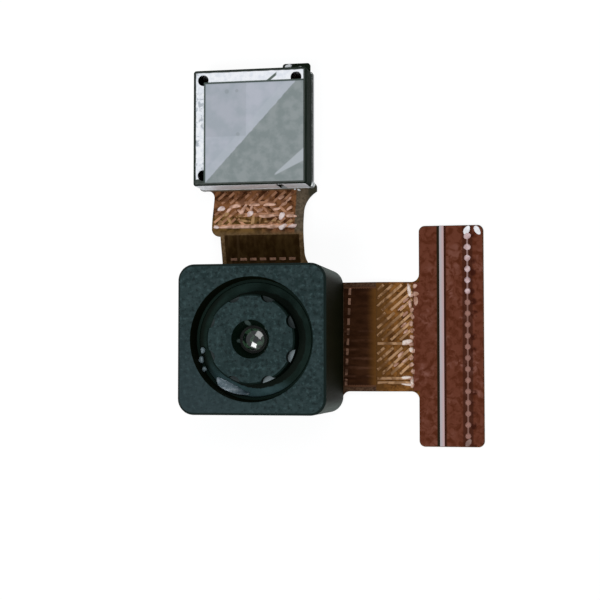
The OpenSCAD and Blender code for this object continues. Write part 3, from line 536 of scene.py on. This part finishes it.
def bar_film(name):
    """Red-brown film on the cross bar: blotchy, darker beside the white mark and round the vias."""
    tree = Tree(name)
    x, y = tree.axis("X"), tree.axis("Y")
    mark_low, mark_high = box_mm("insertion_mark")
    clouds = tree.noise(0.75, detail=4.0, roughness=0.6)
    blots = tree.noise(3.2, detail=3.0, roughness=0.6, distortion=0.7)
    tone = tree.mix(tree.ramp(blots, 0.34, 0.60), (0.088, 0.0190, 0.0060), (0.140, 0.0400, 0.0210))
    pale = tree.both(tree.ramp(clouds, 0.48, 0.66), tree.ramp(blots, 0.44, 0.64))
    inner = tree.ramp(tree.math("ABSOLUTE", y), 3.6, 1.2)
    tone = tree.mix(tree.both(pale, tree.between(inner, 0.35, 1.0)), tone, (0.265, 0.115, 0.088))
    tone = tree.mix(tree.share(tree.ramp(blots, 0.30, 0.22), 0.8), tone, (0.050, 0.010, 0.004))

    gap = tree.less(mark_low[0], x)
    beside_mark = tree.both(tree.ramp(gap, 0.15, 0.09), tree.ramp(gap, -0.03, 0.0))
    tone = tree.mix(beside_mark, tone, (0.014, 0.010, 0.0035))
    gap = tree.less(x, mark_high[0])
    beside_mark = tree.both(tree.ramp(gap, 0.13, 0.07), tree.ramp(gap, -0.03, 0.0))
    tone = tree.mix(beside_mark, tone, (0.040, 0.0100, 0.0035))
    off = tree.less(x, via_row()[0])
    halo = tree.ramp(tree.math("ABSOLUTE", off), 0.27, 0.19)
    tone = tree.mix(tree.share(halo, 0.75), tone, (0.046, 0.011, 0.0045))
    cells = tree.cells(2.0, 0.45, vector=tree.stretched((0.9, 1.0, 0.1), (0.1, 0.05, 0.0)))
    spots = tree.ramp(cells, 0.42, 0.20)
    beside = tree.both(tree.ramp(off, 0.10, 0.18), tree.ramp(off, 0.52, 0.42))
    spots = tree.both(spots, tree.ramp(tree.noise(4.5, detail=3.0), 0.36, 0.54))
    tone = tree.mix(tree.both(spots, tree.share(beside, 0.9)), tone, (0.036, 0.0050, 0.0012))
    normal, edge = tree.soft_edges(0.03)
    tone = tree.mix(tree.share(edge, 0.7), tone, (0.052, 0.036, 0.026))
    tree.set(
        base_color=tone,
        roughness=tree.between(blots, 0.50, 0.65),
        specular_ior_level=0.04,
        normal=tree.bump(blots, 0.016, normal),
    )
    return tree.material


def via_row():
    """X and Y of the first via from the bar's far end, and the pitch of the row, in millimetres."""
    low, high = box_mm("end_vias")
    dome = high[0] - low[0]
    return (low[0] + high[0]) / 2, high[1] - dome / 2, (high[1] - low[1] - dome) / (VIAS - 1)


def via_metal(name):
    """Plated vias, bright near the bar's far end as a painted highlight and dull brown along the rest, with
    dim links.
    """
    tree = Tree(name)
    _, first, pitch = via_row()
    from_via = tree.math("PINGPONG", tree.less(first, tree.axis("Y")), pitch / 2)
    link = tree.share(tree.ramp(from_via, 0.11, 0.17), 0.8)
    patches = tree.noise(3.0, detail=2.0)
    dull = tree.mix(patches, (0.200, 0.082, 0.058), (0.400, 0.200, 0.160))
    bright = tree.mix(patches, (0.56, 0.40, 0.42), (0.78, 0.62, 0.64))
    # painted highlight: the vias brighten towards the bar's far end
    tone = tree.mix(tree.ramp(tree.axis("Y"), 1.8, 3.0), dull, bright)
    tree.set(
        base_color=tree.mix(link, tone, (0.170, 0.070, 0.048)),
        roughness=0.42,
        specular_ior_level=0.3,
        normal=tree.soft_edges(0.03)[0],
    )
    return tree.material


def trace_copper(name, dull, bright, axis, low, high):
    """Copper traces under clear film, brighter towards the high end of an axis; on the tail and the tongue
    this is a painted highlight.
    """
    tree = Tree(name)
    patches = tree.noise(2.4, detail=3.0, distortion=0.5)
    rise = tree.ramp(tree.axis(axis), low, high)
    share = tree.math("MULTIPLY_ADD", rise, 0.5, tree.share(tree.ramp(patches, 0.42, 0.58), 0.5))
    tree.set(
        base_color=tree.mix(share, dull, bright),
        roughness=tree.between(patches, 0.40, 0.52),
        specular_ior_level=0.12,
        normal=tree.bump(patches, 0.02, tree.soft_edges(0.03)[0]),
    )
    return tree.material


def lump_metal(name, deep, light, roughness):
    """Uneven plated lumps on the traces; their bright tones stand in part for glints, painted highlights.
    """
    tree = Tree(name)
    patches = tree.noise(3.4, detail=2.0)
    tree.set(
        base_color=tree.mix(tree.ramp(patches, 0.36, 0.64), deep, light),
        roughness=roughness,
        specular_ior_level=0.2,
        normal=tree.bump(tree.noise(9.0), 0.008),
    )
    return tree.material


def gold_plate(name):
    """Gold plated contacts and wires."""
    tree = Tree(name)
    rub = tree.noise(5.0, detail=3.0, vector=tree.stretched((0.3, 3.0, 1.0)))
    tree.set(
        base_color=tree.mix(rub, (0.62, 0.40, 0.13), (0.86, 0.64, 0.28)),
        metallic=1.0,
        roughness=tree.between(rub, 0.22, 0.40),
        normal=tree.bump(rub, 0.004),
    )
    return tree.material


def white_ink(name):
    """Printed line, greyer on the holder's side and pinker on the other."""
    tree = Tree(name)
    low, high = box_mm("insertion_mark")
    wavy = tree.math("MULTIPLY_ADD", tree.noise(2.0), 0.10, tree.axis("X"))
    across = tree.ramp(wavy, low[0] + 0.08, high[0] + 0.05)
    tree.set(
        base_color=tree.mix(across, (0.47, 0.43, 0.45), (0.56, 0.37, 0.37)),
        roughness=0.6,
        specular_ior_level=0.2,
        normal=tree.bump(tree.noise(14.0), 0.006),
    )
    return tree.material


def tin_top(name):
    """Tinned sheet where it faces up or towards the holder: bright, with a scratch and grey rubs, and
    painted shade along the outer rim of its level top.
    """
    tree = Tree(name)
    low, high = box_mm("shield_can")
    x, y = tree.axis("X"), tree.axis("Y")
    grain = tree.noise(5.0, detail=3.0)
    tone = tree.mix(tree.ramp(grain, 0.30, 0.62), (0.80, 0.83, 0.89), (0.95, 0.96, 0.99))
    rub = tree.ramp(tree.noise(3.6, detail=3.0, distortion=0.8), 0.52, 0.64)
    bar = tree.ramp(x, low[0] + 0.66, low[0] + 0.40)
    tone = tree.mix(tree.both(rub, tree.share(bar, 0.75)), tone, (0.34, 0.38, 0.42))
    # painted shade: the level top darkens along its outer rim
    inset = tree.least(tree.less(x, low[0]), tree.less(high[1], y))
    inset = tree.least(inset, tree.less(high[0], x))
    inset = tree.least(inset, tree.less(tree.less(y, low[1]), 0.16))
    inset = tree.math("MULTIPLY_ADD", tree.noise(3.0), -0.06, inset)
    level = tree.less(1.0, tree.tilted(0.9, 0.5))
    tone = tree.mix(tree.both(level, tree.ramp(inset, 0.13, 0.10)), tone, (0.012, 0.022, 0.014))
    off_scratch = tree.math("ABSOLUTE", tree.above_line((0.0, 11.83), 0.78))
    in_reach = tree.both(tree.ramp(x, -0.14, -0.04), tree.ramp(x, 0.46, 0.36))
    scratch = tree.both(tree.ramp(off_scratch, 0.10, 0.05), in_reach)
    tone = tree.mix(scratch, tone, (0.085, 0.115, 0.095))
    tree.set(
        base_color=tone,
        roughness=0.45,
        specular_ior_level=0.5,
        normal=tree.bump(grain, 0.030, tree.soft_edges(0.02)[0]),
    )
    return tree.material


def tin_wall(name):
    """Tinned sheet round the bends and down the outer walls, dark as painted shade."""
    tree = Tree(name)
    patches = tree.noise(2.4, detail=4.0, vector=tree.stretched((0.4, 0.4, 2.5)))
    # painted shade: the bright tin made dark
    tone = tree.mix(tree.ramp(patches, 0.35, 0.68), (0.0090, 0.0150, 0.0100), (0.019, 0.027, 0.020))
    tree.set(base_color=tone, roughness=0.70, specular_ior_level=0.02, normal=tree.bump(patches, 0.03))
    return tree.material


def can_film(name):
    """Grey film with a painted reflection in two tones that meet along a diagonal and in a pale wedge, and
    painted shade in a dark rim on its lower step and along its left and rear edges.
    """
    tree = Tree(name)
    low, high = box_mm("can_film")
    x, y = tree.axis("X"), tree.axis("Y")
    scuffs = tree.noise(2.2, detail=4.0, roughness=0.5)
    mottle = tree.noise(1.0, detail=3.0)
    # painted reflection: paler above a diagonal line, darker below it
    side = tree.less(tree.above_line((-0.71, 9.58), 1.075), 0.06)
    side = tree.math("MULTIPLY_ADD", tree.noise(4.0), 0.12, side)
    pale = tree.mix(tree.ramp(mottle, 0.38, 0.62), (0.400, 0.440, 0.490), (0.475, 0.495, 0.560))
    pale = tree.mix(tree.share(tree.ramp(side, 0.62, 0.50), 0.3), pale, (0.510, 0.545, 0.590))
    deep = tree.mix(tree.ramp(scuffs, 0.36, 0.66), (0.225, 0.262, 0.262), (0.290, 0.322, 0.325))
    tone = tree.mix(tree.ramp(side, -0.03, 0.05), deep, pale)

    square = tree.both(tree.ramp(x, -0.96, -1.02), tree.ramp(y, 9.30, 9.36))
    tone = tree.mix(tree.share(square, 0.22), tone, (0.25, 0.28, 0.30))
    for at, size in (((-1.37, 9.42), 0.11), ((-1.89, 11.40), 0.13), ((-1.42, 11.42), 0.10)):
        tone = tree.mix(tree.share(tree.spot(at, size), 0.35), tone, (0.20, 0.23, 0.24))

    # painted reflection: a pale wedge in the darker part
    upper = tree.above_line((0.36, 7.56), 0.86)
    lower = tree.above_line((0.36, 7.50), 0.48)
    wedge = tree.both(tree.ramp(upper, 0.05, -0.02), tree.ramp(lower, -0.04, 0.03))
    tone = tree.mix(tree.both(wedge, tree.ramp(x, 0.30, 0.42)), tone, (0.440, 0.475, 0.505))

    # painted shade: a dark rim on the film's lower step, and darker near its left and rear edges
    step = (high[2] + low[2]) / 2
    rim = tree.ramp(tree.axis("Z"), step + 0.012, step + 0.004)
    near_edge = tree.least(tree.less(x, low[0] + 0.08), tree.less(high[1] - 0.08, y))
    tone = tree.mix(tree.share(tree.ramp(near_edge, 0.05, 0.01), 0.35), tone, (0.20, 0.23, 0.25))
    tone = tree.mix(rim, tone, (0.060, 0.085, 0.075))
    tree.set(
        base_color=tone,
        roughness=tree.between(scuffs, 0.46, 0.60),
        specular_ior_level=0.25,
        normal=tree.bump(scuffs, 0.008, tree.soft_edges(0.02)[0]),
    )
    return tree.material


def rolled_steel(name):
    """Rolled steel sheet with fine lines along X."""
    tree = Tree(name)
    lines = tree.noise(3.0, detail=6.0, vector=tree.stretched((0.25, 9.0, 1.0)))
    tree.set(
        base_color=tree.mix(lines, (0.30, 0.31, 0.32), (0.52, 0.53, 0.55)),
        metallic=1.0,
        roughness=tree.between(lines, 0.30, 0.45),
        normal=tree.bump(lines, 0.004, tree.soft_edges(0.02)[0]),
    )
    return tree.material


def solder(name):
    """Solder with a frosted, lightly rippled skin."""
    tree = Tree(name)
    ripple = tree.noise(7.0, detail=3.0, distortion=0.4)
    tree.set(
        base_color=tree.mix(ripple, (0.36, 0.38, 0.37), (0.72, 0.74, 0.75)),
        metallic=0.6,
        roughness=tree.between(ripple, 0.22, 0.42),
        normal=tree.bump(ripple, 0.012),
    )
    return tree.material


def filter_glass(name):
    """Pale blue infrared filter."""
    tree = Tree(name)
    haze = tree.noise(3.0)
    tree.set(
        base_color=tree.mix(haze, (0.25, 0.50, 0.72), (0.40, 0.66, 0.85)),
        roughness=tree.between(haze, 0.02, 0.06),
        ior=1.52,
        transmission_weight=0.9,
    )
    return tree.material


def silicon(name):
    """Sensor die with a faint cell pattern in its pixel field."""
    tree = Tree(name)
    cells = tree.cells(14.0, 0.0)
    tree.set(
        base_color=tree.mix(tree.ramp(cells, 0.3, 0.6), (0.07, 0.05, 0.13), (0.16, 0.20, 0.22)),
        metallic=0.3,
        roughness=tree.between(tree.noise(4.0), 0.12, 0.22),
    )
    return tree.material


def fired_ceramic(name):
    """Chip capacitor: brown fired body."""
    tree = Tree(name)
    grain = tree.noise(20.0)
    tree.set(
        base_color=tree.mix(grain, (0.26, 0.17, 0.10), (0.44, 0.32, 0.21)),
        roughness=tree.between(grain, 0.40, 0.55),
        normal=tree.bump(grain, 0.006, tree.soft_edges(0.02)[0]),
    )
    return tree.material


def moulding_resin(name):
    """Black resin of a chip."""
    tree = Tree(name)
    grain = tree.noise(24.0)
    tree.set(
        base_color=tree.mix(grain, (0.016, 0.016, 0.018), (0.040, 0.040, 0.043)),
        roughness=tree.between(grain, 0.50, 0.65),
        normal=tree.bump(grain, 0.008, tree.soft_edges(0.02)[0]),
    )
    return tree.material


def dress():
    """Puts a material on every CAD node."""
    # the second material in each of these three is a darker copy for walls and bends: painted shade
    wear_by_side("lens_holder", (holder_face("holder_face"), holder_wall("holder_wall")), level_or_wall)
    wear_by_side("lens_barrel", (barrel_face("barrel_face"), barrel_wall("barrel_wall")), level_or_wall)
    wear_by_side("shield_can", (tin_top("tin_bright"), tin_wall("tin_dark")), bright_or_bend)
    wear("front_lens", material=front_glass("front_glass"))
    wear("second_lens", material=lens_glass("second_glass", (0.36, 0.46, 0.36), 380.0))
    wear("third_lens", material=lens_glass("third_glass", (0.42, 0.50, 0.42), 350.0))
    wear("aperture_stop", "lens_spacer", "lens_retainer", material=blackened("ring_black"))
    wear("thread_lock", material=lock_adhesive("lock_grey"))
    wear("holder_glue", "die_attach", material=foot_adhesive("foot_grey"))
    wear("ir_filter", material=filter_glass("filter_blue"))
    wear("image_sensor", material=silicon("die_silicon"))
    wear("bond_wires", "contact_fingers", material=gold_plate("gold"))
    wear("board_capacitors", "head_capacitors", material=fired_ceramic("ceramic"))
    wear("base_stiffener", "head_stiffener", material=rolled_steel("steel_sheet"))
    wear("can_solder", "solder_balls", material=solder("solder_skin"))
    wear("can_film", material=can_film("film_grey"))
    wear("signal_processor", material=moulding_resin("resin_black"))
    wear("flex_circuit", material=flex_film("flex_amber"))
    low, high = box_mm("tail_shield_film")
    wear("tail_shield_film", material=shield_film(
        "tail_film_brown", ((0.0240, 0.0070, 0.0016), (0.0480, 0.0170, 0.0062), (0.105, 0.045, 0.025)),
        "X", 0.2, 1.1, free_edge=high[0], rims=(low[1], high[1])))
    wear("tongue_shield_film", material=shield_film(
        "tongue_film_brown", ((0.0260, 0.0110, 0.0018), (0.0560, 0.0300, 0.0085), (0.078, 0.044, 0.018)),
        "Y", -2.2, 0.5))
    wear("end_stiffener", material=bar_film("bar_red_brown"))
    wear("insertion_mark", material=white_ink("ink_white"))
    wear("end_vias", material=via_metal("via_plate"))
    # painted highlight: the tail's traces brighten towards the bar, where the flex curves
    wear("tail_traces", material=trace_copper(
        "tail_copper", (0.125, 0.050, 0.010), (0.590, 0.345, 0.185), "X", 4.95, 6.3))
    # painted highlight: the tongue's traces brighten towards the crest of its bend
    wear("tongue_traces", material=trace_copper(
        "tongue_copper", (0.145, 0.056, 0.024), (0.620, 0.320, 0.185), "Y", 6.9, 5.2))
    wear("ground_stitches", material=trace_copper(
        "stitch_copper", (0.080, 0.036, 0.019), (0.420, 0.225, 0.150), "Y", 0.5, 2.6))


# ---------------------------------------------------------------- pieces


def top_of(*names):
    """Function that gives the height in millimetres of these nodes' top surface at (x, y)."""
    trees = []
    for name in names:
        mesh = NODES[name].data
        corners = [v.co for v in mesh.vertices]
        trees.append(BVHTree.FromPolygons(corners, [p.vertices[:] for p in mesh.polygons]))

    def height(x, y):
        hits = [tree.ray_cast(Vector((x, y, 20.0)) * MM, Vector((0.0, 0.0, -1.0)))[0] for tree in trees]
        found = [hit.z * PER_METRE for hit in hits if hit is not None]
        return max(found) if found else None

    return height


def lay_lumps(name, rows, height_at, material, thickness=0.05, uneven=0.16):
    """One piece of low uneven lumps, each row (x, y, length, width, turn in degrees)."""
    rng = random.Random(SEED + len(rows) * 31 + len(name))
    sides, rings = 22, 5
    points, faces = [], []
    for x, y, length, width, turn in rows:
        phases = [rng.uniform(0.0, 2 * math.pi) for _ in range(3)]
        weights = [rng.uniform(0.4, 1.0) * uneven / order for order in (1, 1.6, 2.6)]
        turn = math.radians(turn)
        first = len(points)
        for ring in range(rings + 1):
            share = 1.0 - (ring / rings) ** 1.6
            for side in range(sides):
                angle = 2 * math.pi * side / sides
                waves = enumerate(zip(weights, phases))
                wobble = 1.0 + sum(w * math.sin((k + 2) * angle + p) for k, (w, p) in waves)
                u = share * wobble * length / 2 * math.cos(angle)
                v = share * wobble * width / 2 * math.sin(angle)
                for pull in (1.0, 0.8, 0.6, 0.4, 0.2, 0.0):
                    px = x + pull * (u * math.cos(turn) - v * math.sin(turn))
                    py = y + pull * (u * math.sin(turn) + v * math.cos(turn))
                    ground = height_at(px, py)
                    if ground is not None:
                        break
                rise = thickness * math.sqrt(max(0.0, 1.0 - share ** 2.4))
                points.append((px * MM, py * MM, (ground - SUNK + rise) * MM))
        for ring in range(rings):
            for side in range(sides):
                a = first + ring * sides + side
                b = first + ring * sides + (side + 1) % sides
                faces.append((a, b, b + sides, a + sides))
    mesh = bpy.data.meshes.new(name)
    mesh.from_pydata(points, [], faces)
    mesh.validate()
    mesh.shade_smooth()
    mesh.materials.append(material)
    piece = bpy.data.objects.new(name, mesh)
    bpy.context.collection.objects.link(piece)
    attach(piece, "root")


def around(radius, angle, height):
    """Point at a radius, angle and height about the lens axis, in metres."""
    return radius * math.cos(angle) * MM, radius * math.sin(angle) * MM, height * MM


def add_drops(work, floor):
    """Three uneven drops of adhesive on the well's floor."""
    for at, size in (
        ((-2.32, -0.46, 0.08), 0.11), ((-2.37, -0.88, 0.20), 0.12), ((-2.20, -1.28, 0.25), 0.10),
    ):
        place = Matrix.Translation(Vector((at[0], at[1], floor + at[2])) * MM)
        place = place @ Matrix.Diagonal((1.0, 1.25, 0.9, 1.0))
        drop = bmesh.ops.create_uvsphere(
            work, u_segments=20, v_segments=12, radius=size * MM, matrix=place)["verts"]
        centre = sum((v.co for v in drop), Vector()) / len(drop)
        for v in drop:
            way = (v.co - centre).normalized()
            swell = 0.10 * math.sin(3.0 * way.x + 7.0 * at[1]) + 0.08 * math.cos(4.0 * way.y + 5.0 * at[1])
            v.co += way * size * MM * (swell - 0.25 * max(0.0, -way.z))


def lay_lock():
    """Adhesive that locks the barrel: a tapered bead along the well's wall and three drops."""
    floor = box_mm("thread_lock")[0][2]
    points, faces = [], []
    steps, section = 40, 12
    for step in range(steps + 1):
        share = step / steps
        angle = math.radians(-136.0 + 40.0 * share)
        swell = max(0.02, math.sin(math.pi * min(1.0, share * 1.9 + 0.06)) if share < 0.25 else
                    1.0 - 0.75 * ((share - 0.25) / 0.75) ** 1.6)
        inner = BEAD_RADIUS - (0.14 + 0.10 * share) * swell + 0.02 * math.sin(9.0 * share)
        outer = BEAD_RADIUS + 0.20 * swell
        for k in range(section):
            across = k / (section - 1)
            radius = inner + (outer - inner) * across
            rounding = math.sin(math.pi * min(1.0, 0.12 + across * 2.2) / 2.0)
            rise = swell * (0.07 + 0.16 * across ** 1.5) * rounding
            rise += 0.012 * math.sin(13.0 * share + 4.0 * across)
            points.append(around(radius, angle, floor + max(rise, 0.0)))
        for k in (0, section - 1):
            across = k / (section - 1)
            radius = inner + (outer - inner) * across
            points.append(around(radius, angle, floor - 0.01))
    row = section + 2
    loop = list(range(section)) + [section + 1, section]
    for step in range(steps):
        for k in range(row):
            a = step * row + loop[k]
            b = step * row + loop[(k + 1) % row]
            faces.append((a, a + row, b + row, b))
    faces.append(tuple(loop))
    faces.append(tuple(steps * row + k for k in reversed(loop)))
    mesh = bpy.data.meshes.new("lock_bead")
    mesh.from_pydata(points, [], faces)
    work = bmesh.new()
    work.from_mesh(mesh)
    add_drops(work, floor)
    bmesh.ops.recalc_face_normals(work, faces=work.faces)
    work.to_mesh(mesh)
    work.free()
    mesh.shade_smooth()
    mesh.materials.append(lock_adhesive("lock_pale"))
    piece = bpy.data.objects.new("lock_bead", mesh)
    bpy.context.collection.objects.link(piece)
    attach(piece, "root")
    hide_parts("thread_lock")


def lay_tongue_lumps():
    """Irregular plated shapes over the tongue's traces, in three tones; the rows along the bends and the
    white ones stand for glints, painted highlights.
    """
    height_at = top_of("flex_circuit", "tongue_traces")
    peach = lump_metal("lump_peach", (0.400, 0.215, 0.140), (0.780, 0.490, 0.370), 0.40)
    ochre = lump_metal("lump_ochre", (0.200, 0.095, 0.034), (0.500, 0.290, 0.130), 0.42)
    white = lump_metal("lump_white", (0.620, 0.430, 0.390), (0.900, 0.760, 0.730), 0.30)
    # partly plated shapes, partly painted highlights: the long rows lie along the glints of the bends
    lay_lumps("tongue_lumps_peach", [
        (-0.18, 5.77, 0.92, 0.17, 0), (0.90, 5.75, 0.46, 0.18, -4), (-0.88, 6.33, 0.52, 0.15, 4),
        (-0.17, 6.32, 0.58, 0.16, 0), (0.51, 6.34, 0.34, 0.17, 35), (0.79, 6.13, 0.32, 0.15, 30),
        (0.18, 6.10, 0.42, 0.14, 8), (-0.60, 6.05, 0.32, 0.17, 35), (-1.02, 6.14, 0.44, 0.13, 85),
        (-1.40, 6.10, 0.56, 0.19, 62), (-1.80, 6.28, 0.50, 0.20, 5), (-2.08, 6.10, 0.36, 0.17, 55),
        (-1.55, 6.02, 0.34, 0.15, -40), (0.36, 6.66, 0.34, 0.16, 30), (0.72, 6.56, 0.30, 0.13, 40),
        (-1.10, 5.28, 2.90, 0.17, 0), (0.05, 5.26, 0.62, 0.18, 0),
    ], height_at, peach)
    lay_lumps("tongue_lumps_ochre", [
        (-2.20, 5.88, 0.30, 0.20, 20), (-2.02, 5.60, 0.42, 0.14, -60), (-1.50, 5.80, 0.44, 0.14, 8),
        (-1.34, 5.56, 0.62, 0.13, -6), (-0.90, 5.55, 0.56, 0.17, 84), (-0.55, 5.58, 0.34, 0.12, 80),
        (-0.22, 5.50, 0.28, 0.11, 0), (0.08, 5.53, 0.24, 0.15, 10), (0.85, 5.46, 0.50, 0.11, 22),
        (-2.45, 5.48, 0.24, 0.26, 0), (0.32, 5.48, 0.22, 0.11, -50),
    ], height_at, ochre)
    # painted highlights: white glints
    lay_lumps("tongue_lumps_white", [
        (-2.45, 6.17, 0.38, 0.23, 28), (-1.05, 5.90, 0.36, 0.24, 25), (0.45, 5.76, 0.40, 0.24, 80),
        (0.52, 5.25, 0.40, 0.24, 24), (0.98, 5.27, 0.44, 0.17, 14), (-2.62, 5.28, 0.30, 0.15, 0),
    ], height_at, white, thickness=0.06)


def lay_tail_lumps():
    """Plated lumps where the tail's traces run under the stiffening film; their pink and pale tones stand
    in part for glints, painted highlights.
    """
    height_at = top_of("flex_circuit", "tail_traces", "end_stiffener")
    pink = lump_metal("lump_pink", (0.380, 0.190, 0.125), (0.660, 0.420, 0.330), 0.40)
    white = lump_metal("lump_pale", (0.640, 0.470, 0.390), (0.920, 0.800, 0.730), 0.30)
    chain = [
        (6.38 + 0.04 * math.sin(2.3 * k), 1.40 - 0.31 * k, 0.21, 0.22, 30 * math.sin(1.7 * k))
        for k in range(12)
    ]
    lay_lumps("tail_lumps_pink", chain + [
        (6.44, 2.08, 0.42, 0.15, 24), (6.55, 2.12, 0.27, 0.25, 0), (6.57, 1.80, 0.48, 0.18, -88),
        (6.52, 2.48, 0.22, 0.20, 0), (6.30, 1.68, 0.36, 0.18, -88), (6.10, 1.84, 0.34, 0.12, 42),
        (5.90, 1.50, 0.40, 0.11, 44), (6.08, 1.22, 0.38, 0.13, 44), (6.02, 0.72, 0.36, 0.12, 40),
        (6.10, 0.42, 0.30, 0.11, 42), (5.86, -0.62, 0.40, 0.12, 44), (6.04, -0.90, 0.34, 0.11, 42),
        (5.66, -1.08, 0.30, 0.11, 44),
    ], height_at, pink)
    # painted highlights: the pale lumps are glints
    lay_lumps("tail_lumps_pale", [
        (6.26, 2.28, 0.56, 0.19, -80), (6.16, -0.06, 0.56, 0.22, 12),
        (6.34, -0.40, 0.18, 0.26, 0), (6.16, -1.66, 0.52, 0.15, 4), (6.18, -1.98, 0.50, 0.13, -4),
        (6.38, -1.84, 0.17, 0.40, 0),
    ], height_at, white, thickness=0.06)


def lay_bar_glints():
    """Spots at both ends of the cross bar, white ones at its far end as painted highlights and a dull
    plated one at its near end, and caps on the vias near its far end, rosy as a painted highlight.
    """
    height_at = top_of("end_stiffener")
    low, high = box_mm("end_stiffener")
    via_x, first, pitch = via_row()
    far = high[1] - 0.22
    # painted highlights: white glints at the far end
    white = lump_metal("glint_white_lump", (0.80, 0.78, 0.80), (0.95, 0.94, 0.96), 0.25)
    lay_lumps("bar_glints", [
        (via_x - 0.02, far, 0.44, 0.28, 62), (high[0] - 0.24, far, 0.44, 0.26, -58),
    ], height_at, white, thickness=0.04, uneven=0.08)
    # painted highlight: rosy caps on the vias near the far end
    rosy = lump_metal("lump_cap", (0.500, 0.330, 0.330), (0.740, 0.560, 0.560), 0.35)
    lay_lumps("via_caps", [
        (via_x, first - pitch * k, 0.32 - 0.015 * k, 0.30 - 0.012 * k, 20 * k) for k in range(6)
    ], top_of("end_vias", "end_stiffener"), rosy, thickness=0.03, uneven=0.08)
    dull = lump_metal("lump_dull", (0.200, 0.120, 0.100), (0.360, 0.230, 0.195), 0.45)
    lay_lumps("bar_near_spot", [(via_x, low[1] + 0.16, 0.36, 0.26, 60)],
              height_at, dull, thickness=0.03)


def lay_can_glints():
    """Solder beside the can's rear tab and under its front wall, bright as a painted highlight."""
    low, high = box_mm("shield_can")
    # solder whose bright tone is a painted highlight
    skin = lump_metal("solder_and_glint", (0.70, 0.73, 0.74), (0.93, 0.94, 0.95), 0.25)
    lay_lumps("can_glints", [
        (0.66, high[1] + 0.32, 0.40, 0.20, 18),
        (1.18, low[1] - 0.10, 0.18, 0.08, -10), (1.00, low[1] - 0.07, 0.12, 0.06, 15),
    ], top_of("flex_circuit", "can_solder"), skin, thickness=0.07)


# ---------------------------------------------------------------- studio


def set_camera():
    """Looks down on the lens from the tail's side, with the part's Y axis upright in the frame."""
    eye = Vector(EYE) * MM
    ahead = Vector(AHEAD).normalized()
    right = ahead.cross(Vector((0.0, 1.0, 0.0))).normalized()
    up = right.cross(ahead)
    data = bpy.data.cameras.new("camera")
    data.sensor_width = 36.0
    data.lens = 80.2
    data.clip_start = 1 * MM
    data.clip_end = 10.0
    camera = bpy.data.objects.new("camera", data)
    camera.matrix_world = Matrix((
        (right.x, up.x, -ahead.x, eye.x),
        (right.y, up.y, -ahead.y, eye.y),
        (right.z, up.z, -ahead.z, eye.z),
        (0.0, 0.0, 0.0, 1.0),
    ))
    bpy.context.collection.objects.link(camera)
    bpy.context.scene.camera = camera


def soft_box(name, at, aim, size, watts):
    """Area lamp at one point, aimed at another, all in millimetres."""
    data = bpy.data.lights.new(name, "AREA")
    data.shape = "RECTANGLE"
    data.size = size[0] * MM
    data.size_y = size[1] * MM
    data.energy = watts
    lamp = bpy.data.objects.new(name, data)
    lamp.location = Vector(at) * MM
    lamp.rotation_euler = (Vector(aim) - Vector(at)).to_track_quat("-Z", "Y").to_euler()
    bpy.context.collection.objects.link(lamp)


def set_lamps():
    """Two broad boxes overhead, one beyond the can and one short of the tail."""
    centre = (2.0, 3.0, 0.0)
    soft_box("far", (54.0, 92.0, 238.0), centre, (120.0, 100.0), 0.140)
    soft_box("near", (-40.0, -98.0, 236.0), centre, (92.0, 76.0), 0.225)


def set_world():
    """Even pale sky."""
    world = bpy.data.worlds.new("studio")
    world.use_nodes = True
    sky = world.node_tree.nodes["Background"]
    sky.inputs["Color"].default_value = (0.93, 0.97, 1.0, 1.0)
    sky.inputs["Strength"].default_value = 0.45
    bpy.context.scene.world = world


def set_floor():
    """Pale floor that reads as white and keeps a light shadow."""
    half = 1500 * MM
    drop = 0.02 * MM
    mesh = bpy.data.meshes.new("floor")
    corners = [(x * half, y * half, -drop) for x, y in ((-1, -1), (1, -1), (1, 1), (-1, 1))]
    mesh.from_pydata(corners, [], [(0, 1, 2, 3)])
    floor = bpy.data.objects.new("floor", mesh)
    bpy.context.collection.objects.link(floor)
    material = bpy.data.materials.new("floor_white")
    material.use_nodes = True
    nodes, links = material.node_tree.nodes, material.node_tree.links
    paper = nodes["Principled BSDF"]
    paper.inputs["Base Color"].default_value = (0.86, 0.87, 0.88, 1.0)
    paper.inputs["Roughness"].default_value = 0.9
    glow = nodes.new("ShaderNodeEmission")
    glow.inputs["Strength"].default_value = FLOOR_GLOW
    rays = nodes.new("ShaderNodeLightPath")
    seen = nodes.new("ShaderNodeMath")
    seen.operation = "ADD"
    links.new(rays.outputs["Is Camera Ray"], seen.inputs[0])
    links.new(rays.outputs["Is Glossy Ray"], seen.inputs[1])
    seen_through = nodes.new("ShaderNodeMath")
    seen_through.operation = "ADD"
    links.new(seen.outputs[0], seen_through.inputs[0])
    links.new(rays.outputs["Is Transmission Ray"], seen_through.inputs[1])
    share = nodes.new("ShaderNodeMath")
    share.operation = "MULTIPLY"
    share.inputs[1].default_value = FLOOR_SHARE
    links.new(seen_through.outputs[0], share.inputs[0])
    blend = nodes.new("ShaderNodeMixShader")
    links.new(share.outputs[0], blend.inputs[0])
    links.new(paper.outputs[0], blend.inputs[1])
    links.new(glow.outputs[0], blend.inputs[2])
    links.new(blend.outputs[0], nodes["Material Output"].inputs["Surface"])
    mesh.materials.append(material)


dress()
lay_lock()
lay_tongue_lumps()
lay_tail_lumps()
lay_bar_glints()
lay_can_glints()
set_camera()
set_lamps()
set_world()
set_floor()
bpy.context.scene.view_settings.view_transform = "Standard"
